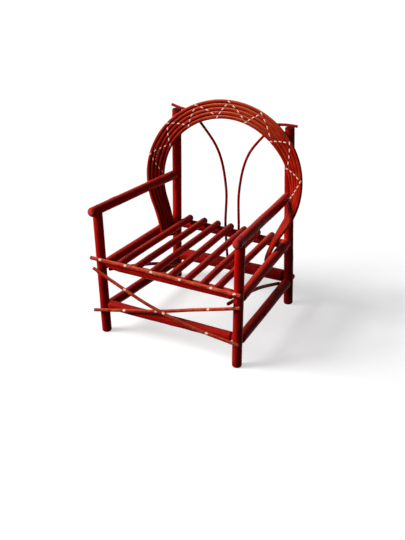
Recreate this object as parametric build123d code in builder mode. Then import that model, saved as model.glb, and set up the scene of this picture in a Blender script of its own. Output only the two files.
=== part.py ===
"""Child's twig armchair: straight peeled sticks for the frame, a bow of five bent
shoots for the back, and thin twigs nailed across the front.

Millimetres, +Z up, +X to the sitter's left, +Y from the front of the seat to the back.
The origin lies on the floor in the middle of the chair's footprint.
"""

import os
from dataclasses import dataclass
from math import acos, atan2, cos, hypot, pi, radians, sin, tan

from build123d import *

# ---------------------------------------------------------------- driving sizes

# corner posts
POST_RADIUS = 12.6
FRONT_FOOT_X = 190.0          # half the distance between the front feet
BACK_FOOT_X = 174.3           # half the distance between the back feet
SEAT_DEPTH = 355.0            # front feet to back feet
FRONT_SPLAY = 1.2             # degrees that the front posts open outward
BACK_TOE_IN = 1.2             # degrees that the back posts close inward
RAKE = 0.9                    # degrees that all four posts lean forward
BACK_POST_HEIGHT = 508.0
POST_CHAMFER = 1.6

# arms
ARM_RADIUS = 12.3
ARM_FRONT_Z = 346.0
ARM_BACK_Z = 322.5
ARM_NOSE = 29.0               # past the front post's middle
ARM_NOSE_ROUND = 8.5
ARM_SADDLE = 5.0              # how far the post's top stays below the arm's middle

# seat rails and stretchers
SEAT_RAIL_RADIUS = 12.6
SEAT_RAIL_FRONT_Z = 188.0
LEFT_SEAT_RAIL_FALL = 2.5     # how much lower the back end is than the front one
RIGHT_SEAT_RAIL_RISE = 3.5    # this one climbs instead
FRONT_RAIL_RADIUS = 12.6
FRONT_RAIL_Z = 199.5
FRONT_RAIL_WHITTLE = 45.0     # long knife taper at the left end
FRONT_RAIL_SHOULDER = 7.0     # bare tenon at the right end
BACK_RAIL_RADIUS = 12.5
BACK_RAIL_LEFT_Z = 175.0
BACK_RAIL_RIGHT_Z = 177.0
SIDE_STRETCHER_RADIUS = 13.0
SIDE_STRETCHER_FRONT_Z = 69.2
LEFT_STRETCHER_BACK_Z = 53.0
RIGHT_STRETCHER_BACK_Z = 69.8
STRETCHER_TAIL = 33.0         # through tenon, past the back post's middle
TAIL_ROUND = 6.0
FRONT_STRETCHER_RADIUS = 12.3
FRONT_STRETCHER_Z = 81.0
FRONT_STRETCHER_SHOULDER = 6.5    # bare tenon at the right end
BACK_STRETCHER_RADIUS = 16.6
BACK_STRETCHER_LEFT_Z = 75.7
BACK_STRETCHER_RIGHT_Z = 81.4
BACK_STRETCHER_SHOULDER = 1.2
KNIFE_TAPER = 5.0             # whittled cone between a stick and its tenon
WHITTLED_SHARE = 0.8          # shoulder's radius as a share of the stick's

# tenons and fits
TENON_RADIUS = 5.0
THROUGH_TENON_RADIUS = 9.2
TENON_DEPTH = 17.0            # into the post
TENON_CLEARANCE = 0.1
SHOULDER_GAP = 0.7            # square shoulder off the leaning post
ARM_SHOULDER_GAP = 0.95
SEAT_GAP = 0.15               # between a stick and what it is nailed against
TWIG_GAP = 0.25               # the same for the bowed twigs in front

# seat slats
SLAT_RADIUS = 9.25
SLAT_FRONT_RISE = 14.5        # slat's middle over the front rail's
SLAT_BACK_RISE = 19.7         # and over the back rail's
SLAT_FRONT_X = (-133.0, -87.0, -38.5, 12.0, 57.0, 102.0, 141.5)
SLAT_BACK_X = (-127.5, -83.0, -41.5, -1.5, 39.0, 79.0, 121.5)
SLAT_SETBACK = 0.3            # front ends behind the faces of the front posts
SLAT_TAIL = 5.0               # past the back rail's middle
SLAT_END_ROUND = 8.0

# twigs nailed to the fronts of the posts
TRIM_RADIUS = 4.9
TRIM_POINTS = ((-214.0, 217.0), (-35.0, 216.5), (209.0, 211.0))
FALLING_TWIG_RADIUS = 4.3     # left end high, right end low
FALLING_TWIG_POINTS = ((-209.5, 187.5), (-113.0, 151.0), (-29.0, 121.0), (84.0, 92.0), (203.0, 71.0))
FALLING_TWIG_BOW = 7.8        # passes in front of the rising one
RISING_TWIG_RADIUS = 4.4      # left end low, right end high
RISING_TWIG_POINTS = ((-213.0, 64.5), (-120.0, 86.0), (-26.0, 108.0), (90.0, 142.5), (207.5, 178.0))
RISING_TWIG_BOW = 1.5         # and this one gives way backward

# bow of five shoots, the back's hoop
BOW_COUNT = 5
SHOOT_RADIUS = 4.95
SHOOT_PITCH = 10.1
BOW_LEAN = 12.27              # degrees back from upright
BOW_ROLL = -0.33              # degrees that the bow hangs to one side
BOW_X = -2.2
BOW_CROWN = 544.3             # middle shoot's crown from the floor, along the lean
BOW_CROWN_ANGLE = 49.8        # degrees of the flat crown's arc, to a side
BOW_WIDEST_RISE = 23.2        # its widest place, above the back ends of the arms
BOW_HIP_RADIUS = 177.4        # below the widest place
BOW_LEG_RADIUS = 456.0        # bends the other way
BOW_FOOT_DROP = 17.0          # feet below the middle of the seat rails
BOW_TWIST = 69.2              # degrees that the flat band turns by its foot
BOW_TWIST_LENGTH = 418.0
BOW_POST_GAP = 0.2            # outer shoot, in front of the back posts
BOW_ARM_GAP = 1.7             # inner shoot, outside the arms
BOW_RAIL_GAP = 0.15           # outer shoot, inside the seat rails
BOW_STATIONS = (2, 2, 1, 2)   # pieces of each arc in which a shoot's own arcs are bent
FITTING_ROUNDS = 9

# thin twigs inside the bow, from the crown to the back stretcher
INNER_TWIG_RADIUS = 3.2
INNER_TWIG_X = {-1: (-104.0, -42.2, -21.5, -26.5, -21.0), 1: (113.0, 47.0, 18.5, 14.4, 12.0)}
INNER_TWIG_FOOT_Z = 62.0
INNER_TWIG_HEIGHTS = (438.0, 350.0, 243.0, 123.0, 0.0)    # above its foot, as it grew
INNER_TWIG_DROP = 44.3        # its top, below the bow's crown
INNER_TWIG_BACK = 8.9075      # its top, behind the middle of the bow's band
INNER_TWIG_BEHIND = (-4.4, 3.9, 12.7, 19.4)    # the rest, behind the middle of the back feet

# short twigs over the back posts
TOP_TWIG_RADIUS = 3.75
TOP_TWIG_REACH = {-1: (18.3, -7.7, -46.7), 1: (18.3, -13.7, -46.7)}    # outward of the post top
TOP_TWIG_RISE = {-1: (4.5, 0.25, -3.0), 1: (0.3, 0.6, -3.0)}
TOP_TWIG_Y = (6.0, 3.0, -0.5)  # from the post top's middle

# bent braces under the seat, inside the side frames
BRACE_RADIUS = 4.5
BRACE_GAP = (0.2, 0.4, 0.3)   # off the post, off the seat rail, off the stretcher
BRACE_START = {-1: (6.0, 7.0), 1: (-29.0, 1.0)}       # behind the front foot, below the seat rail
BRACE_STOP = {-1: (29.0, 1.2), 1: (27.0, 0.6)}        # ahead of the back foot, off the stretcher
BRACE_BEND = {-1: (0.575, 0.516), 1: (0.529, 0.449)}  # its middle point's share along and down

# nails
NAIL_RADIUS = 0.9
NAIL_HEAD_RADIUS = 2.2
NAIL_HEAD_THICKNESS = 0.8
NAIL_CLEARANCE = 0.05
NAIL_LIFT = 0.2               # head's seat off a round stick's crown
ARM_NAIL_LENGTH = 40.0
RAIL_NAIL_LENGTH = 38.0
RAIL_NAIL_RISE = 1.6
SLAT_NAIL_LENGTH = 24.0
TRIM_NAIL_LENGTH = 20.0
TRIM_NAILED = ("seat_slat_2", "seat_slat_4", "seat_slat_6")
POST_NAIL_OUT = 3.4           # outside the middle of the front feet
TWIG_NAIL_LENGTH = 15.0
SHOOT_NAIL_LENGTH = 22.0
NEAREST_STEPS = 20            # places tried in each round of a search for a contact
NEAREST_ROUNDS = 3
HALVINGS = 24

# ---------------------------------------------------------------- worked-out sizes

DEPTH_AHEAD = ARM_NOSE + ARM_FRONT_Z * tan(radians(RAKE))
DEPTH_BEHIND = SEAT_DEPTH + STRETCHER_TAIL - RIGHT_STRETCHER_BACK_Z * tan(radians(RAKE))
FRONT_Y = (DEPTH_AHEAD - DEPTH_BEHIND) / 2
BACK_Y = FRONT_Y + SEAT_DEPTH
LEFT, RIGHT = -1, 1
SIDES = {LEFT: "left", RIGHT: "right"}
SEAT_RAIL_BACK_Z = {
    LEFT: SEAT_RAIL_FRONT_Z - LEFT_SEAT_RAIL_FALL, RIGHT: SEAT_RAIL_FRONT_Z + RIGHT_SEAT_RAIL_RISE
}
SIDE_STRETCHER_BACK_Z = {LEFT: LEFT_STRETCHER_BACK_Z, RIGHT: RIGHT_STRETCHER_BACK_Z}
SLAT_FRONT_Z = FRONT_RAIL_Z + SLAT_FRONT_RISE
SLAT_BACK_Z = (BACK_RAIL_LEFT_Z + BACK_RAIL_RIGHT_Z) / 2 + SLAT_BACK_RISE


def front_post_at(side, height):
    """Middle of a front post at a height."""
    return Vector(
        side * (FRONT_FOOT_X + height * tan(radians(FRONT_SPLAY))),
        FRONT_Y - height * tan(radians(RAKE)),
        height,
    )


def back_post_at(side, height):
    """Middle of a back post at a height."""
    return Vector(
        side * (BACK_FOOT_X - height * tan(radians(BACK_TOE_IN))),
        BACK_Y - height * tan(radians(RAKE)),
        height,
    )


def post_face_y(height):
    """Y of the front faces of the front posts at a height."""
    return front_post_at(RIGHT, height).Y - POST_RADIUS


# ---------------------------------------------------------------- cuts and nails


@dataclass
class Bore:
    """A round hole: where it starts, which way it runs, how wide and how long it is."""

    start: Vector
    direction: Vector
    radius: float
    depth: float

    def plane(self):
        return Plane(origin=self.start, z_dir=self.direction)


@dataclass
class Nail:
    """A round-headed nail: the point under its head, its direction and its length."""

    seat: Vector
    direction: Vector
    length: float

    def hole(self):
        """The hole that the nail's shank needs, from outside the stick it enters."""
        back_off = self.direction * POST_RADIUS
        return Bore(
            self.seat - back_off,
            self.direction,
            NAIL_RADIUS + NAIL_CLEARANCE,
            self.length + POST_RADIUS + NAIL_CLEARANCE,
        )


def holes(nails):
    """The holes of several nails."""
    return [nail.hole() for nail in nails]


# ---------------------------------------------------------------- stick makers

NEARLY_UPRIGHT = 0.9          # rise of a post's direction, so that another one squares it


def stick_plane(start, end):
    """Plane through a stick's own axis: x along the stick, y across it."""
    along = (end - start).normalized()
    upright = Vector(0, 0, 1) if abs(along.Z) < NEARLY_UPRIGHT else Vector(0, 1, 0)
    return Plane(origin=start, x_dir=along, z_dir=along.cross(upright))


def straight_stick(label, start, end, outline, cuts=(), rounds=(), floor=False):
    """Revolve an outline of (place along the axis, radius) points into a stick.

    rounds lists (point near the edge, radius) for ends that are worn round. floor
    cuts the stick off level at the floor.
    """
    plane = stick_plane(start, end)
    with BuildPart() as piece:
        with BuildSketch(plane):
            with BuildLine():
                Polyline((outline[0][0], 0), *outline, (outline[-1][0], 0), close=True)
            make_face()
        revolve(axis=Axis(start, plane.x_dir))
        for near, radius in rounds:
            rim = piece.edges().filter_by(GeomType.CIRCLE).sort_by_distance(near)[0]
            fillet(rim, radius)
        if floor:
            split(bisect_by=Plane.XY, keep=Keep.TOP)
            chamfer(piece.edges().group_by(Axis.Z)[0], POST_CHAMFER)
        for cut in cuts:
            with BuildSketch(cut.plane()):
                Circle(cut.radius)
            extrude(amount=cut.depth, mode=Mode.SUBTRACT)
    piece.part.label = label
    export_step(piece.part, f"parts/{label}.step")
    return piece.part


def bent_stick(label, path, radius, cuts=()):
    """Sweep a round section along a path of tangent arcs and saw its ends off square."""
    with BuildPart() as piece:
        with BuildSketch(Plane(origin=path @ 0, z_dir=path % 0)):
            Circle(radius)
        sweep(path=path)
        for cut in cuts:
            with BuildSketch(cut.plane()):
                Circle(cut.radius)
            extrude(amount=cut.depth, mode=Mode.SUBTRACT)
    piece.part.label = label
    export_step(piece.part, f"parts/{label}.step")
    return piece.part


def arc_path(points):
    """One arc through the first three points, then an arc tangent to it to each next one."""
    with BuildLine() as path:
        run = ThreePointArc(*points[:3])
        for point in points[3:]:
            run = TangentArc(run @ 1, point, tangent=run % 1)
    return path.wires()[0]


def rail_outline(length, radius, start, end):
    """Outline of a rail between two posts.

    start and end are (shoulder's distance from the post's middle, whittled length,
    tenon radius, tenon's end measured from the post's middle; a minus sign is past it).
    """
    first_shoulder, first_taper, first_tenon, first_tip = start
    last_shoulder, last_taper, last_tenon, last_tip = end
    return [
        (first_tip, first_tenon),
        (first_shoulder, first_tenon),
        (first_shoulder, max(radius * WHITTLED_SHARE, first_tenon) if first_taper <= KNIFE_TAPER
         else first_tenon + SEAT_GAP),
        (first_shoulder + first_taper, radius),
        (length - last_shoulder - last_taper, radius),
        (length - last_shoulder, max(radius * WHITTLED_SHARE, last_tenon)),
        (length - last_shoulder, last_tenon),
        (length - last_tip, last_tenon),
    ]


BLIND_TIP = POST_RADIUS - TENON_DEPTH


def blind_end(shoulder=SHOULDER_GAP, taper=KNIFE_TAPER):
    """A rail's end with a blind tenon, its shoulder a little off the post's face."""
    return (POST_RADIUS + shoulder, taper, TENON_RADIUS, BLIND_TIP)


def through_end(tail):
    """A rail's end whose tenon passes through the post and stands out behind it."""
    return (POST_RADIUS + SHOULDER_GAP, KNIFE_TAPER, THROUGH_TENON_RADIUS, -tail)


def mortise(post_point, rail_direction, end):
    """The hole in a post for a rail's tenon; rail_direction points from the post into the rail."""
    _, _, tenon_radius, tip = end
    outside = POST_RADIUS + KNIFE_TAPER
    reach = outside - tip + TENON_CLEARANCE
    return Bore(
        post_point + rail_direction * outside,
        -rail_direction,
        tenon_radius + TENON_CLEARANCE,
        reach + (POST_RADIUS if -tip > POST_RADIUS else 0),
    )


# ---------------------------------------------------------------- rails: where they run


@dataclass
class Rail:
    """A stick between two posts, with the form of its ends."""

    label: str
    start: Vector
    end: Vector
    radius: float
    first: tuple
    last: tuple

    def direction(self):
        return (self.end - self.start).normalized()

    def outline(self):
        return rail_outline((self.end - self.start).length, self.radius, self.first, self.last)

    def first_mortise(self):
        return mortise(self.start, self.direction(), self.first)

    def last_mortise(self):
        return mortise(self.end, -self.direction(), self.last)

    def saddle(self, reach=0.0):
        """The notch that the rail leaves in a stick that rests over it."""
        return Bore(
            self.start - self.direction() * reach,
            self.direction(),
            self.radius + SEAT_GAP,
            (self.end - self.start).length + 2 * reach,
        )


def along_side(label, side, front_z, back_z, radius, last):
    """A rail from a front post to the back post behind it."""
    return Rail(
        label, front_post_at(side, front_z), back_post_at(side, back_z), radius, blind_end(), last
    )


seat_rails = {
    side: along_side(
        f"{name}_seat_rail", side, SEAT_RAIL_FRONT_Z, SEAT_RAIL_BACK_Z[side],
        SEAT_RAIL_RADIUS, blind_end(),
    )
    for side, name in SIDES.items()
}
side_stretchers = {
    side: along_side(
        f"{name}_stretcher", side, SIDE_STRETCHER_FRONT_Z, SIDE_STRETCHER_BACK_Z[side],
        SIDE_STRETCHER_RADIUS, through_end(STRETCHER_TAIL),
    )
    for side, name in SIDES.items()
}
front_rail = Rail(
    "front_seat_rail", front_post_at(LEFT, FRONT_RAIL_Z), front_post_at(RIGHT, FRONT_RAIL_Z),
    FRONT_RAIL_RADIUS, blind_end(taper=FRONT_RAIL_WHITTLE), blind_end(FRONT_RAIL_SHOULDER),
)
front_stretcher = Rail(
    "front_stretcher", front_post_at(LEFT, FRONT_STRETCHER_Z),
    front_post_at(RIGHT, FRONT_STRETCHER_Z), FRONT_STRETCHER_RADIUS,
    blind_end(), blind_end(FRONT_STRETCHER_SHOULDER),
)
back_rail = Rail(
    "back_seat_rail", back_post_at(LEFT, BACK_RAIL_LEFT_Z), back_post_at(RIGHT, BACK_RAIL_RIGHT_Z),
    BACK_RAIL_RADIUS, blind_end(), blind_end(),
)
back_stretcher = Rail(
    "back_stretcher", back_post_at(LEFT, BACK_STRETCHER_LEFT_Z),
    back_post_at(RIGHT, BACK_STRETCHER_RIGHT_Z), BACK_STRETCHER_RADIUS,
    blind_end(BACK_STRETCHER_SHOULDER), blind_end(BACK_STRETCHER_SHOULDER),
)
arms = {
    side: Rail(
        f"{name}_arm", front_post_at(side, ARM_FRONT_Z), back_post_at(side, ARM_BACK_Z),
        ARM_RADIUS, (-ARM_NOSE, 0, ARM_RADIUS, -ARM_NOSE), blind_end(ARM_SHOULDER_GAP),
    )
    for side, name in SIDES.items()
}

back_posts = {
    side: Rail(
        f"back_{name}_post", back_post_at(side, 0), back_post_at(side, BACK_POST_HEIGHT),
        POST_RADIUS, (), (),
    )
    for side, name in SIDES.items()
}

# ---------------------------------------------------------------- bow: where it runs

OUTER_ROW = (BOW_COUNT - 1) // 2
BOW_UP = Vector(0, sin(radians(BOW_LEAN)), cos(radians(BOW_LEAN)))


@dataclass
class Bow:
    """The bow's middle line: four tangent arcs to a side, in a plane that leans back."""

    half_width: float
    foot_out: float
    behind: float             # its plane at the floor, behind the front feet

    def plane(self):
        return Plane(
            origin=(BOW_X, FRONT_Y + self.behind, 0),
            x_dir=Vector(1, 0, 0) * cos(radians(BOW_ROLL)) + BOW_UP * sin(radians(BOW_ROLL)),
            z_dir=(0, -cos(radians(BOW_LEAN)), sin(radians(BOW_LEAN))),
        )

    def arcs(self):
        """Radius and length of the crown's arc, the shoulder's, the hip's and the leg's.

        The crown's and the shoulder's radii follow from the width and from the rise
        above the widest place. The leg's arc touches the hip's from outside and ends at
        the foot, so its middle lies one leg radius from the foot and both radii from
        the middle of the hip's arc.
        """
        crown_angle, lean = radians(BOW_CROWN_ANGLE), radians(BOW_LEAN)
        sine, cosine = sin(crown_angle), cos(crown_angle)
        widest_up = (ARM_BACK_Z + BOW_WIDEST_RISE) / cos(lean)
        rise = BOW_CROWN - widest_up
        crown_radius = (cosine * self.half_width - (1 - sine) * rise) / (sine + cosine - 1)
        shoulder_radius = (sine * rise - (1 - cosine) * self.half_width) / (sine + cosine - 1)
        foot_up = (SEAT_RAIL_FRONT_Z - BOW_FOOT_DROP) / cos(lean)
        run = self.foot_out - self.half_width + BOW_HIP_RADIUS
        drop = foot_up - widest_up
        reach = hypot(run, drop)
        both = BOW_HIP_RADIUS + BOW_LEG_RADIUS
        along = (both**2 - BOW_LEG_RADIUS**2 + reach**2) / (2 * reach)
        turned = atan2(run, drop) - acos(along / both)
        leg_angle = acos((both**2 + BOW_LEG_RADIUS**2 - reach**2) / (2 * both * BOW_LEG_RADIUS))
        return (
            (crown_radius, crown_radius * crown_angle),
            (shoulder_radius, shoulder_radius * (pi / 2 - crown_angle)),
            (BOW_HIP_RADIUS, BOW_HIP_RADIUS * (turned - pi / 2)),
            (-BOW_LEG_RADIUS, BOW_LEG_RADIUS * leg_angle),
        )

    def half_length(self):
        return sum(length for _, length in self.arcs())

    def stations(self):
        """Distances from the crown at which a shoot's own arcs join, the last at its foot."""
        marks, start = [], 0.0
        for (_, length), parts in zip(self.arcs(), BOW_STATIONS):
            marks += [start + length * part / parts for part in range(1, parts + 1)]
            start += length
        return marks


def shoot_points(bow, row, side, distances):
    """Points of one shoot at distances along the bow's middle line.

    row counts from the bow's middle shoot, outward is plus.
    """
    plane, arcs, half_length = bow.plane(), bow.arcs(), bow.half_length()
    points = []
    for distance in distances:
        out, up, heading, left = 0.0, BOW_CROWN, 0.0, distance
        for radius, length in arcs:
            run = min(left, length)
            turned = heading + run / radius
            out += radius * (sin(turned) - sin(heading))
            up += radius * (cos(turned) - cos(heading))
            heading, left = turned, left - run
        turn = min(max((distance - half_length) / BOW_TWIST_LENGTH + 1, 0.0), 1.0)
        twist = radians(BOW_TWIST) * turn * turn * (3 - 2 * turn)
        flat, forward = row * SHOOT_PITCH * cos(twist), row * SHOOT_PITCH * sin(twist)
        points.append(
            plane.origin + plane.x_dir * side * (out + flat * sin(heading))
            + plane.y_dir * (up + flat * cos(heading)) + plane.z_dir * forward
        )
    return points


def nearest_place(bow, side, row, rail):
    """Where a shoot comes nearest to a rail or post: point on the shoot, point on the rail."""
    axis, length = rail.direction(), (rail.end - rail.start).length
    low, high = 0.0, bow.half_length()
    for _ in range(NEAREST_ROUNDS):
        step = (high - low) / NEAREST_STEPS
        places = [low + step * index for index in range(NEAREST_STEPS + 1)]
        pairs = []
        for place, point in zip(places, shoot_points(bow, row, side, places)):
            foot = rail.start + axis * min(max((point - rail.start).dot(axis), 0), length)
            pairs.append(((point - foot).length, place, point, foot))
        _, place, on_shoot, on_rail = min(pairs, key=lambda pair: pair[:2])
        low, high = max(place - step, 0.0), min(place + step, bow.half_length())
    return on_shoot, on_rail


def room(bow, row, rails):
    """Smallest space between a shoot and the rails or posts on both sides."""
    spaces = []
    for side, rail in rails.items():
        on_shoot, on_rail = nearest_place(bow, side, row, rail)
        spaces.append((on_shoot - on_rail).length - SHOOT_RADIUS - rail.radius)
    return min(spaces)


def fitted_bow():
    """The bow bent to the frame: before the back posts, outside the arms, inside the rails."""
    lean_run = BACK_POST_HEIGHT * (tan(radians(BOW_LEAN)) + tan(radians(RAKE)))
    bow = Bow(
        half_width=BACK_FOOT_X + POST_RADIUS + OUTER_ROW * SHOOT_PITCH,
        foot_out=BACK_FOOT_X - SEAT_RAIL_RADIUS - 2 * SHOOT_RADIUS,
        behind=SEAT_DEPTH - lean_run - POST_RADIUS - SHOOT_RADIUS,
    )
    for _ in range(FITTING_ROUNDS):
        bow.behind += room(bow, OUTER_ROW, back_posts) - BOW_POST_GAP
        bow.half_width += BOW_ARM_GAP - room(bow, -OUTER_ROW, arms)
        bow.foot_out += room(bow, OUTER_ROW, seat_rails) - BOW_RAIL_GAP
    return bow


bow = fitted_bow()


def shoot_path(row):
    """A shoot's path: tangent arcs from the crown down to each foot."""
    with BuildLine() as path:
        for side in SIDES:
            crown, *joins = shoot_points(bow, row, side, [0.0, *bow.stations()])
            heading = bow.plane().x_dir * side
            for join in joins:
                arc = TangentArc(crown, join, tangent=heading)
                crown, heading = arc @ 1, arc % 1
    return path.wires()[0]


# ---------------------------------------------------------------- nails: where they go

X_DIRECTION = Vector(1, 0, 0)
BACKWARD = Vector(0, 1, 0)
FORWARD = Vector(0, -1, 0)
DOWN = Vector(0, 0, -1)

arm_nails = {
    side: Nail(
        front_post_at(side, ARM_FRONT_Z) - DOWN * (ARM_RADIUS + NAIL_LIFT), DOWN, ARM_NAIL_LENGTH
    )
    for side in SIDES
}
rail_nails = {
    side: Nail(
        Vector(
            front_post_at(side, SEAT_RAIL_FRONT_Z).X,
            post_face_y(SEAT_RAIL_FRONT_Z + RAIL_NAIL_RISE) - NAIL_LIFT,
            SEAT_RAIL_FRONT_Z + RAIL_NAIL_RISE,
        ),
        BACKWARD, RAIL_NAIL_LENGTH,
    )
    for side in SIDES
}

slat_ends = []
for front_x, back_x in zip(SLAT_FRONT_X, SLAT_BACK_X):
    slat_ends.append((
        Vector(front_x, post_face_y(SLAT_FRONT_Z) + SLAT_SETBACK, SLAT_FRONT_Z),
        Vector(back_x, back_rail.start.Y + SLAT_TAIL, SLAT_BACK_Z),
    ))


def slat_nails_of(ends):
    """Two nails through a slat, one into each rail."""
    front, back = ends
    along = (back - front).normalized()
    pair = []
    for rail, z in ((front_rail, SLAT_FRONT_Z), (back_rail, SLAT_BACK_Z)):
        share = (rail.start.Y - front.Y) / (back.Y - front.Y)
        middle = front + (back - front) * share
        upward = along.cross(X_DIRECTION).normalized()
        upward = upward if upward.Z > 0 else -upward
        pair.append(
            Nail(middle + upward * (SLAT_RADIUS + NAIL_LIFT), -upward, SLAT_NAIL_LENGTH)
        )
    return pair


slat_nails = [slat_nails_of(ends) for ends in slat_ends]

# ---------------------------------------------------------------- twigs: where they run


def front_twig_points(points, radius, bow):
    """Points of a twig lying on the front posts' faces; bow is its rise off their line."""
    first, last = points[0][1], points[-1][1]
    ends = [post_face_y(z) - radius - TWIG_GAP for z in (first, last)]
    placed = []
    for x, z in points:
        share = (x + FRONT_FOOT_X) / (2 * FRONT_FOOT_X)
        line = ends[0] + (ends[1] - ends[0]) * share
        placed.append(Vector(x, line - bow * 4 * share * (1 - share), z))
    return placed


trim_path = arc_path(front_twig_points(TRIM_POINTS, TRIM_RADIUS, 0.0))
falling_path = arc_path(
    front_twig_points(FALLING_TWIG_POINTS, FALLING_TWIG_RADIUS, FALLING_TWIG_BOW)
)
rising_path = arc_path(
    front_twig_points(RISING_TWIG_POINTS, RISING_TWIG_RADIUS, -RISING_TWIG_BOW)
)


def inner_twig_points(side):
    """A thin twig hanging behind the bow, the back rail and the back stretcher.

    It is stretched to the height of the bow that it hangs on, and its top follows the
    bow's lean.
    """
    top_z = BOW_CROWN - INNER_TWIG_DROP
    stretch = (top_z - INNER_TWIG_FOOT_Z) / INNER_TWIG_HEIGHTS[0]
    top_y = FRONT_Y + bow.behind + top_z * tan(radians(BOW_LEAN)) + INNER_TWIG_BACK
    places_y = [top_y, *(BACK_Y + behind for behind in INNER_TWIG_BEHIND)]
    return [
        Vector(x, y, INNER_TWIG_FOOT_Z + height * stretch)
        for x, y, height in zip(INNER_TWIG_X[side], places_y, INNER_TWIG_HEIGHTS)
    ]


def top_twig_points(side):
    """A short twig lying on a back post's top, its inner end against the bow."""
    post = back_post_at(side, BACK_POST_HEIGHT)
    seat = BACK_POST_HEIGHT + TOP_TWIG_RADIUS + SEAT_GAP
    return [
        Vector(post.X + side * reach, post.Y + y, seat + rise)
        for reach, y, rise in zip(TOP_TWIG_REACH[side], TOP_TWIG_Y, TOP_TWIG_RISE[side])
    ]


def brace_points(side):
    """A bent brace on the inner side of a side frame, from the front post down to the stretcher."""
    behind, below = BRACE_START[side]
    ahead, off = BRACE_STOP[side]
    share_along, share_down = BRACE_BEND[side]
    start, stop = (behind, SEAT_RAIL_FRONT_Z - below), (SEAT_DEPTH - ahead, 0)
    low = side_stretchers[side].start + (
        side_stretchers[side].end - side_stretchers[side].start) * (stop[0] / SEAT_DEPTH)
    stop = (stop[0], low.Z + off)
    bend = (
        start[0] + (stop[0] - start[0]) * share_along,
        start[1] + (stop[1] - start[1]) * share_down,
    )
    points = []
    for (y, z), stick, gap in zip(
        (start, bend, stop), (POST_RADIUS, SEAT_RAIL_RADIUS, SIDE_STRETCHER_RADIUS), BRACE_GAP
    ):
        share = y / SEAT_DEPTH
        post_line = front_post_at(side, z).X * (1 - share) + back_post_at(side, z).X * share
        points.append(Vector(post_line - side * (stick + BRACE_RADIUS + gap), FRONT_Y + y, z))
    return points


# ---------------------------------------------------------------- nails in the twigs


def nail_at(middle, direction, radius, length):
    """A nail driven square through a round stick, its head on the stick's surface."""
    return Nail(middle - direction * (radius + NAIL_LIFT), direction, length)


def on_path(path, x):
    """The point of a path that runs from left to right at an X place."""
    low, high = 0.0, 1.0
    for _ in range(HALVINGS):
        middle = (low + high) / 2
        if (path @ middle).X < x:
            low = middle
        else:
            high = middle
    return path @ low


def bow_nail(side, row, rail):
    """A nail through a shoot into the rail or post that it touches, seen from the shoot."""
    on_shoot, on_rail = nearest_place(bow, side, row, rail)
    return nail_at(on_shoot, (on_rail - on_shoot).normalized(), SHOOT_RADIUS, SHOOT_NAIL_LENGTH)


bow_nails = {}
for side in SIDES:
    bow_nails[side] = {
        "post": (OUTER_ROW, bow_nail(side, OUTER_ROW, back_posts[side])),
        "arm": (-OUTER_ROW, bow_nail(side, -OUTER_ROW, arms[side])),
        "rail": (OUTER_ROW, bow_nail(side, OUTER_ROW, seat_rails[side])),
    }


def post_nails(path, radius, length):
    """A nail through a front twig into each front post."""
    return {
        side: nail_at(
            on_path(path, side * (FRONT_FOOT_X + POST_NAIL_OUT)), BACKWARD, radius, length
        )
        for side in SIDES
    }


trim_nails = post_nails(trim_path, TRIM_RADIUS, TRIM_NAIL_LENGTH)
falling_nails = post_nails(falling_path, FALLING_TWIG_RADIUS, TWIG_NAIL_LENGTH)
rising_nails = post_nails(rising_path, RISING_TWIG_RADIUS, TWIG_NAIL_LENGTH)
slat_names = [f"seat_slat_{place}" for place, _ in enumerate(SLAT_FRONT_X, 1)]
trim_slat_nails = {
    label: nail_at(on_path(trim_path, front_x), BACKWARD, TRIM_RADIUS, TRIM_NAIL_LENGTH)
    for label, front_x in zip(slat_names, SLAT_FRONT_X)
    if label in TRIM_NAILED
}

# ---------------------------------------------------------------- build

os.makedirs("parts", exist_ok=True)
built = {}

# front posts: coped under the arms, bored for four rails, nailed from above and in front
for side, name in SIDES.items():
    rail = seat_rails[side]
    stretcher = side_stretchers[side]
    front_mortise = front_rail.first_mortise() if side == LEFT else front_rail.last_mortise()
    low_mortise = front_stretcher.first_mortise() if side == LEFT else front_stretcher.last_mortise()
    label = f"front_{name}_post"
    foot = front_post_at(side, -POST_RADIUS)
    top = front_post_at(side, ARM_FRONT_Z - ARM_SADDLE)
    built[label] = straight_stick(
        label, foot, top,
        [(0, POST_RADIUS), ((top - foot).length, POST_RADIUS)],
        cuts=[
            rail.first_mortise(), stretcher.first_mortise(), front_mortise, low_mortise,
            arms[side].saddle(ARM_NOSE),
        ] + holes([
            arm_nails[side], rail_nails[side], trim_nails[side], falling_nails[side],
            rising_nails[side],
        ]),
        floor=True,
    )

# back posts: flat tops, bored for arm, seat rail, back rail and both stretchers
for side, name in SIDES.items():
    label = f"back_{name}_post"
    foot = back_post_at(side, -POST_RADIUS)
    top = back_post_at(side, BACK_POST_HEIGHT)
    length = (top - foot).length
    built[label] = straight_stick(
        label, foot, top,
        [
            (0, POST_RADIUS), (length - POST_CHAMFER, POST_RADIUS),
            (length, POST_RADIUS - POST_CHAMFER),
        ],
        cuts=[
            arms[side].last_mortise(), seat_rails[side].last_mortise(),
            side_stretchers[side].last_mortise(),
            back_rail.first_mortise() if side == LEFT else back_rail.last_mortise(),
            back_stretcher.first_mortise() if side == LEFT else back_stretcher.last_mortise(),
        ] + holes([bow_nails[side]["post"][1]]),
        floor=True,
    )

# arms: well-rounded noses, nailed down onto the front posts
for side, rail in arms.items():
    nose = rail.start - rail.direction() * ARM_NOSE
    built[rail.label] = straight_stick(
        rail.label, rail.start, rail.end,
        [
            (-ARM_NOSE, ARM_RADIUS),
            *rail.outline()[4:],
        ],
        cuts=holes([arm_nails[side], bow_nails[side]["arm"][1]]),
        rounds=[(nose, ARM_NOSE_ROUND)],
    )

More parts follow.
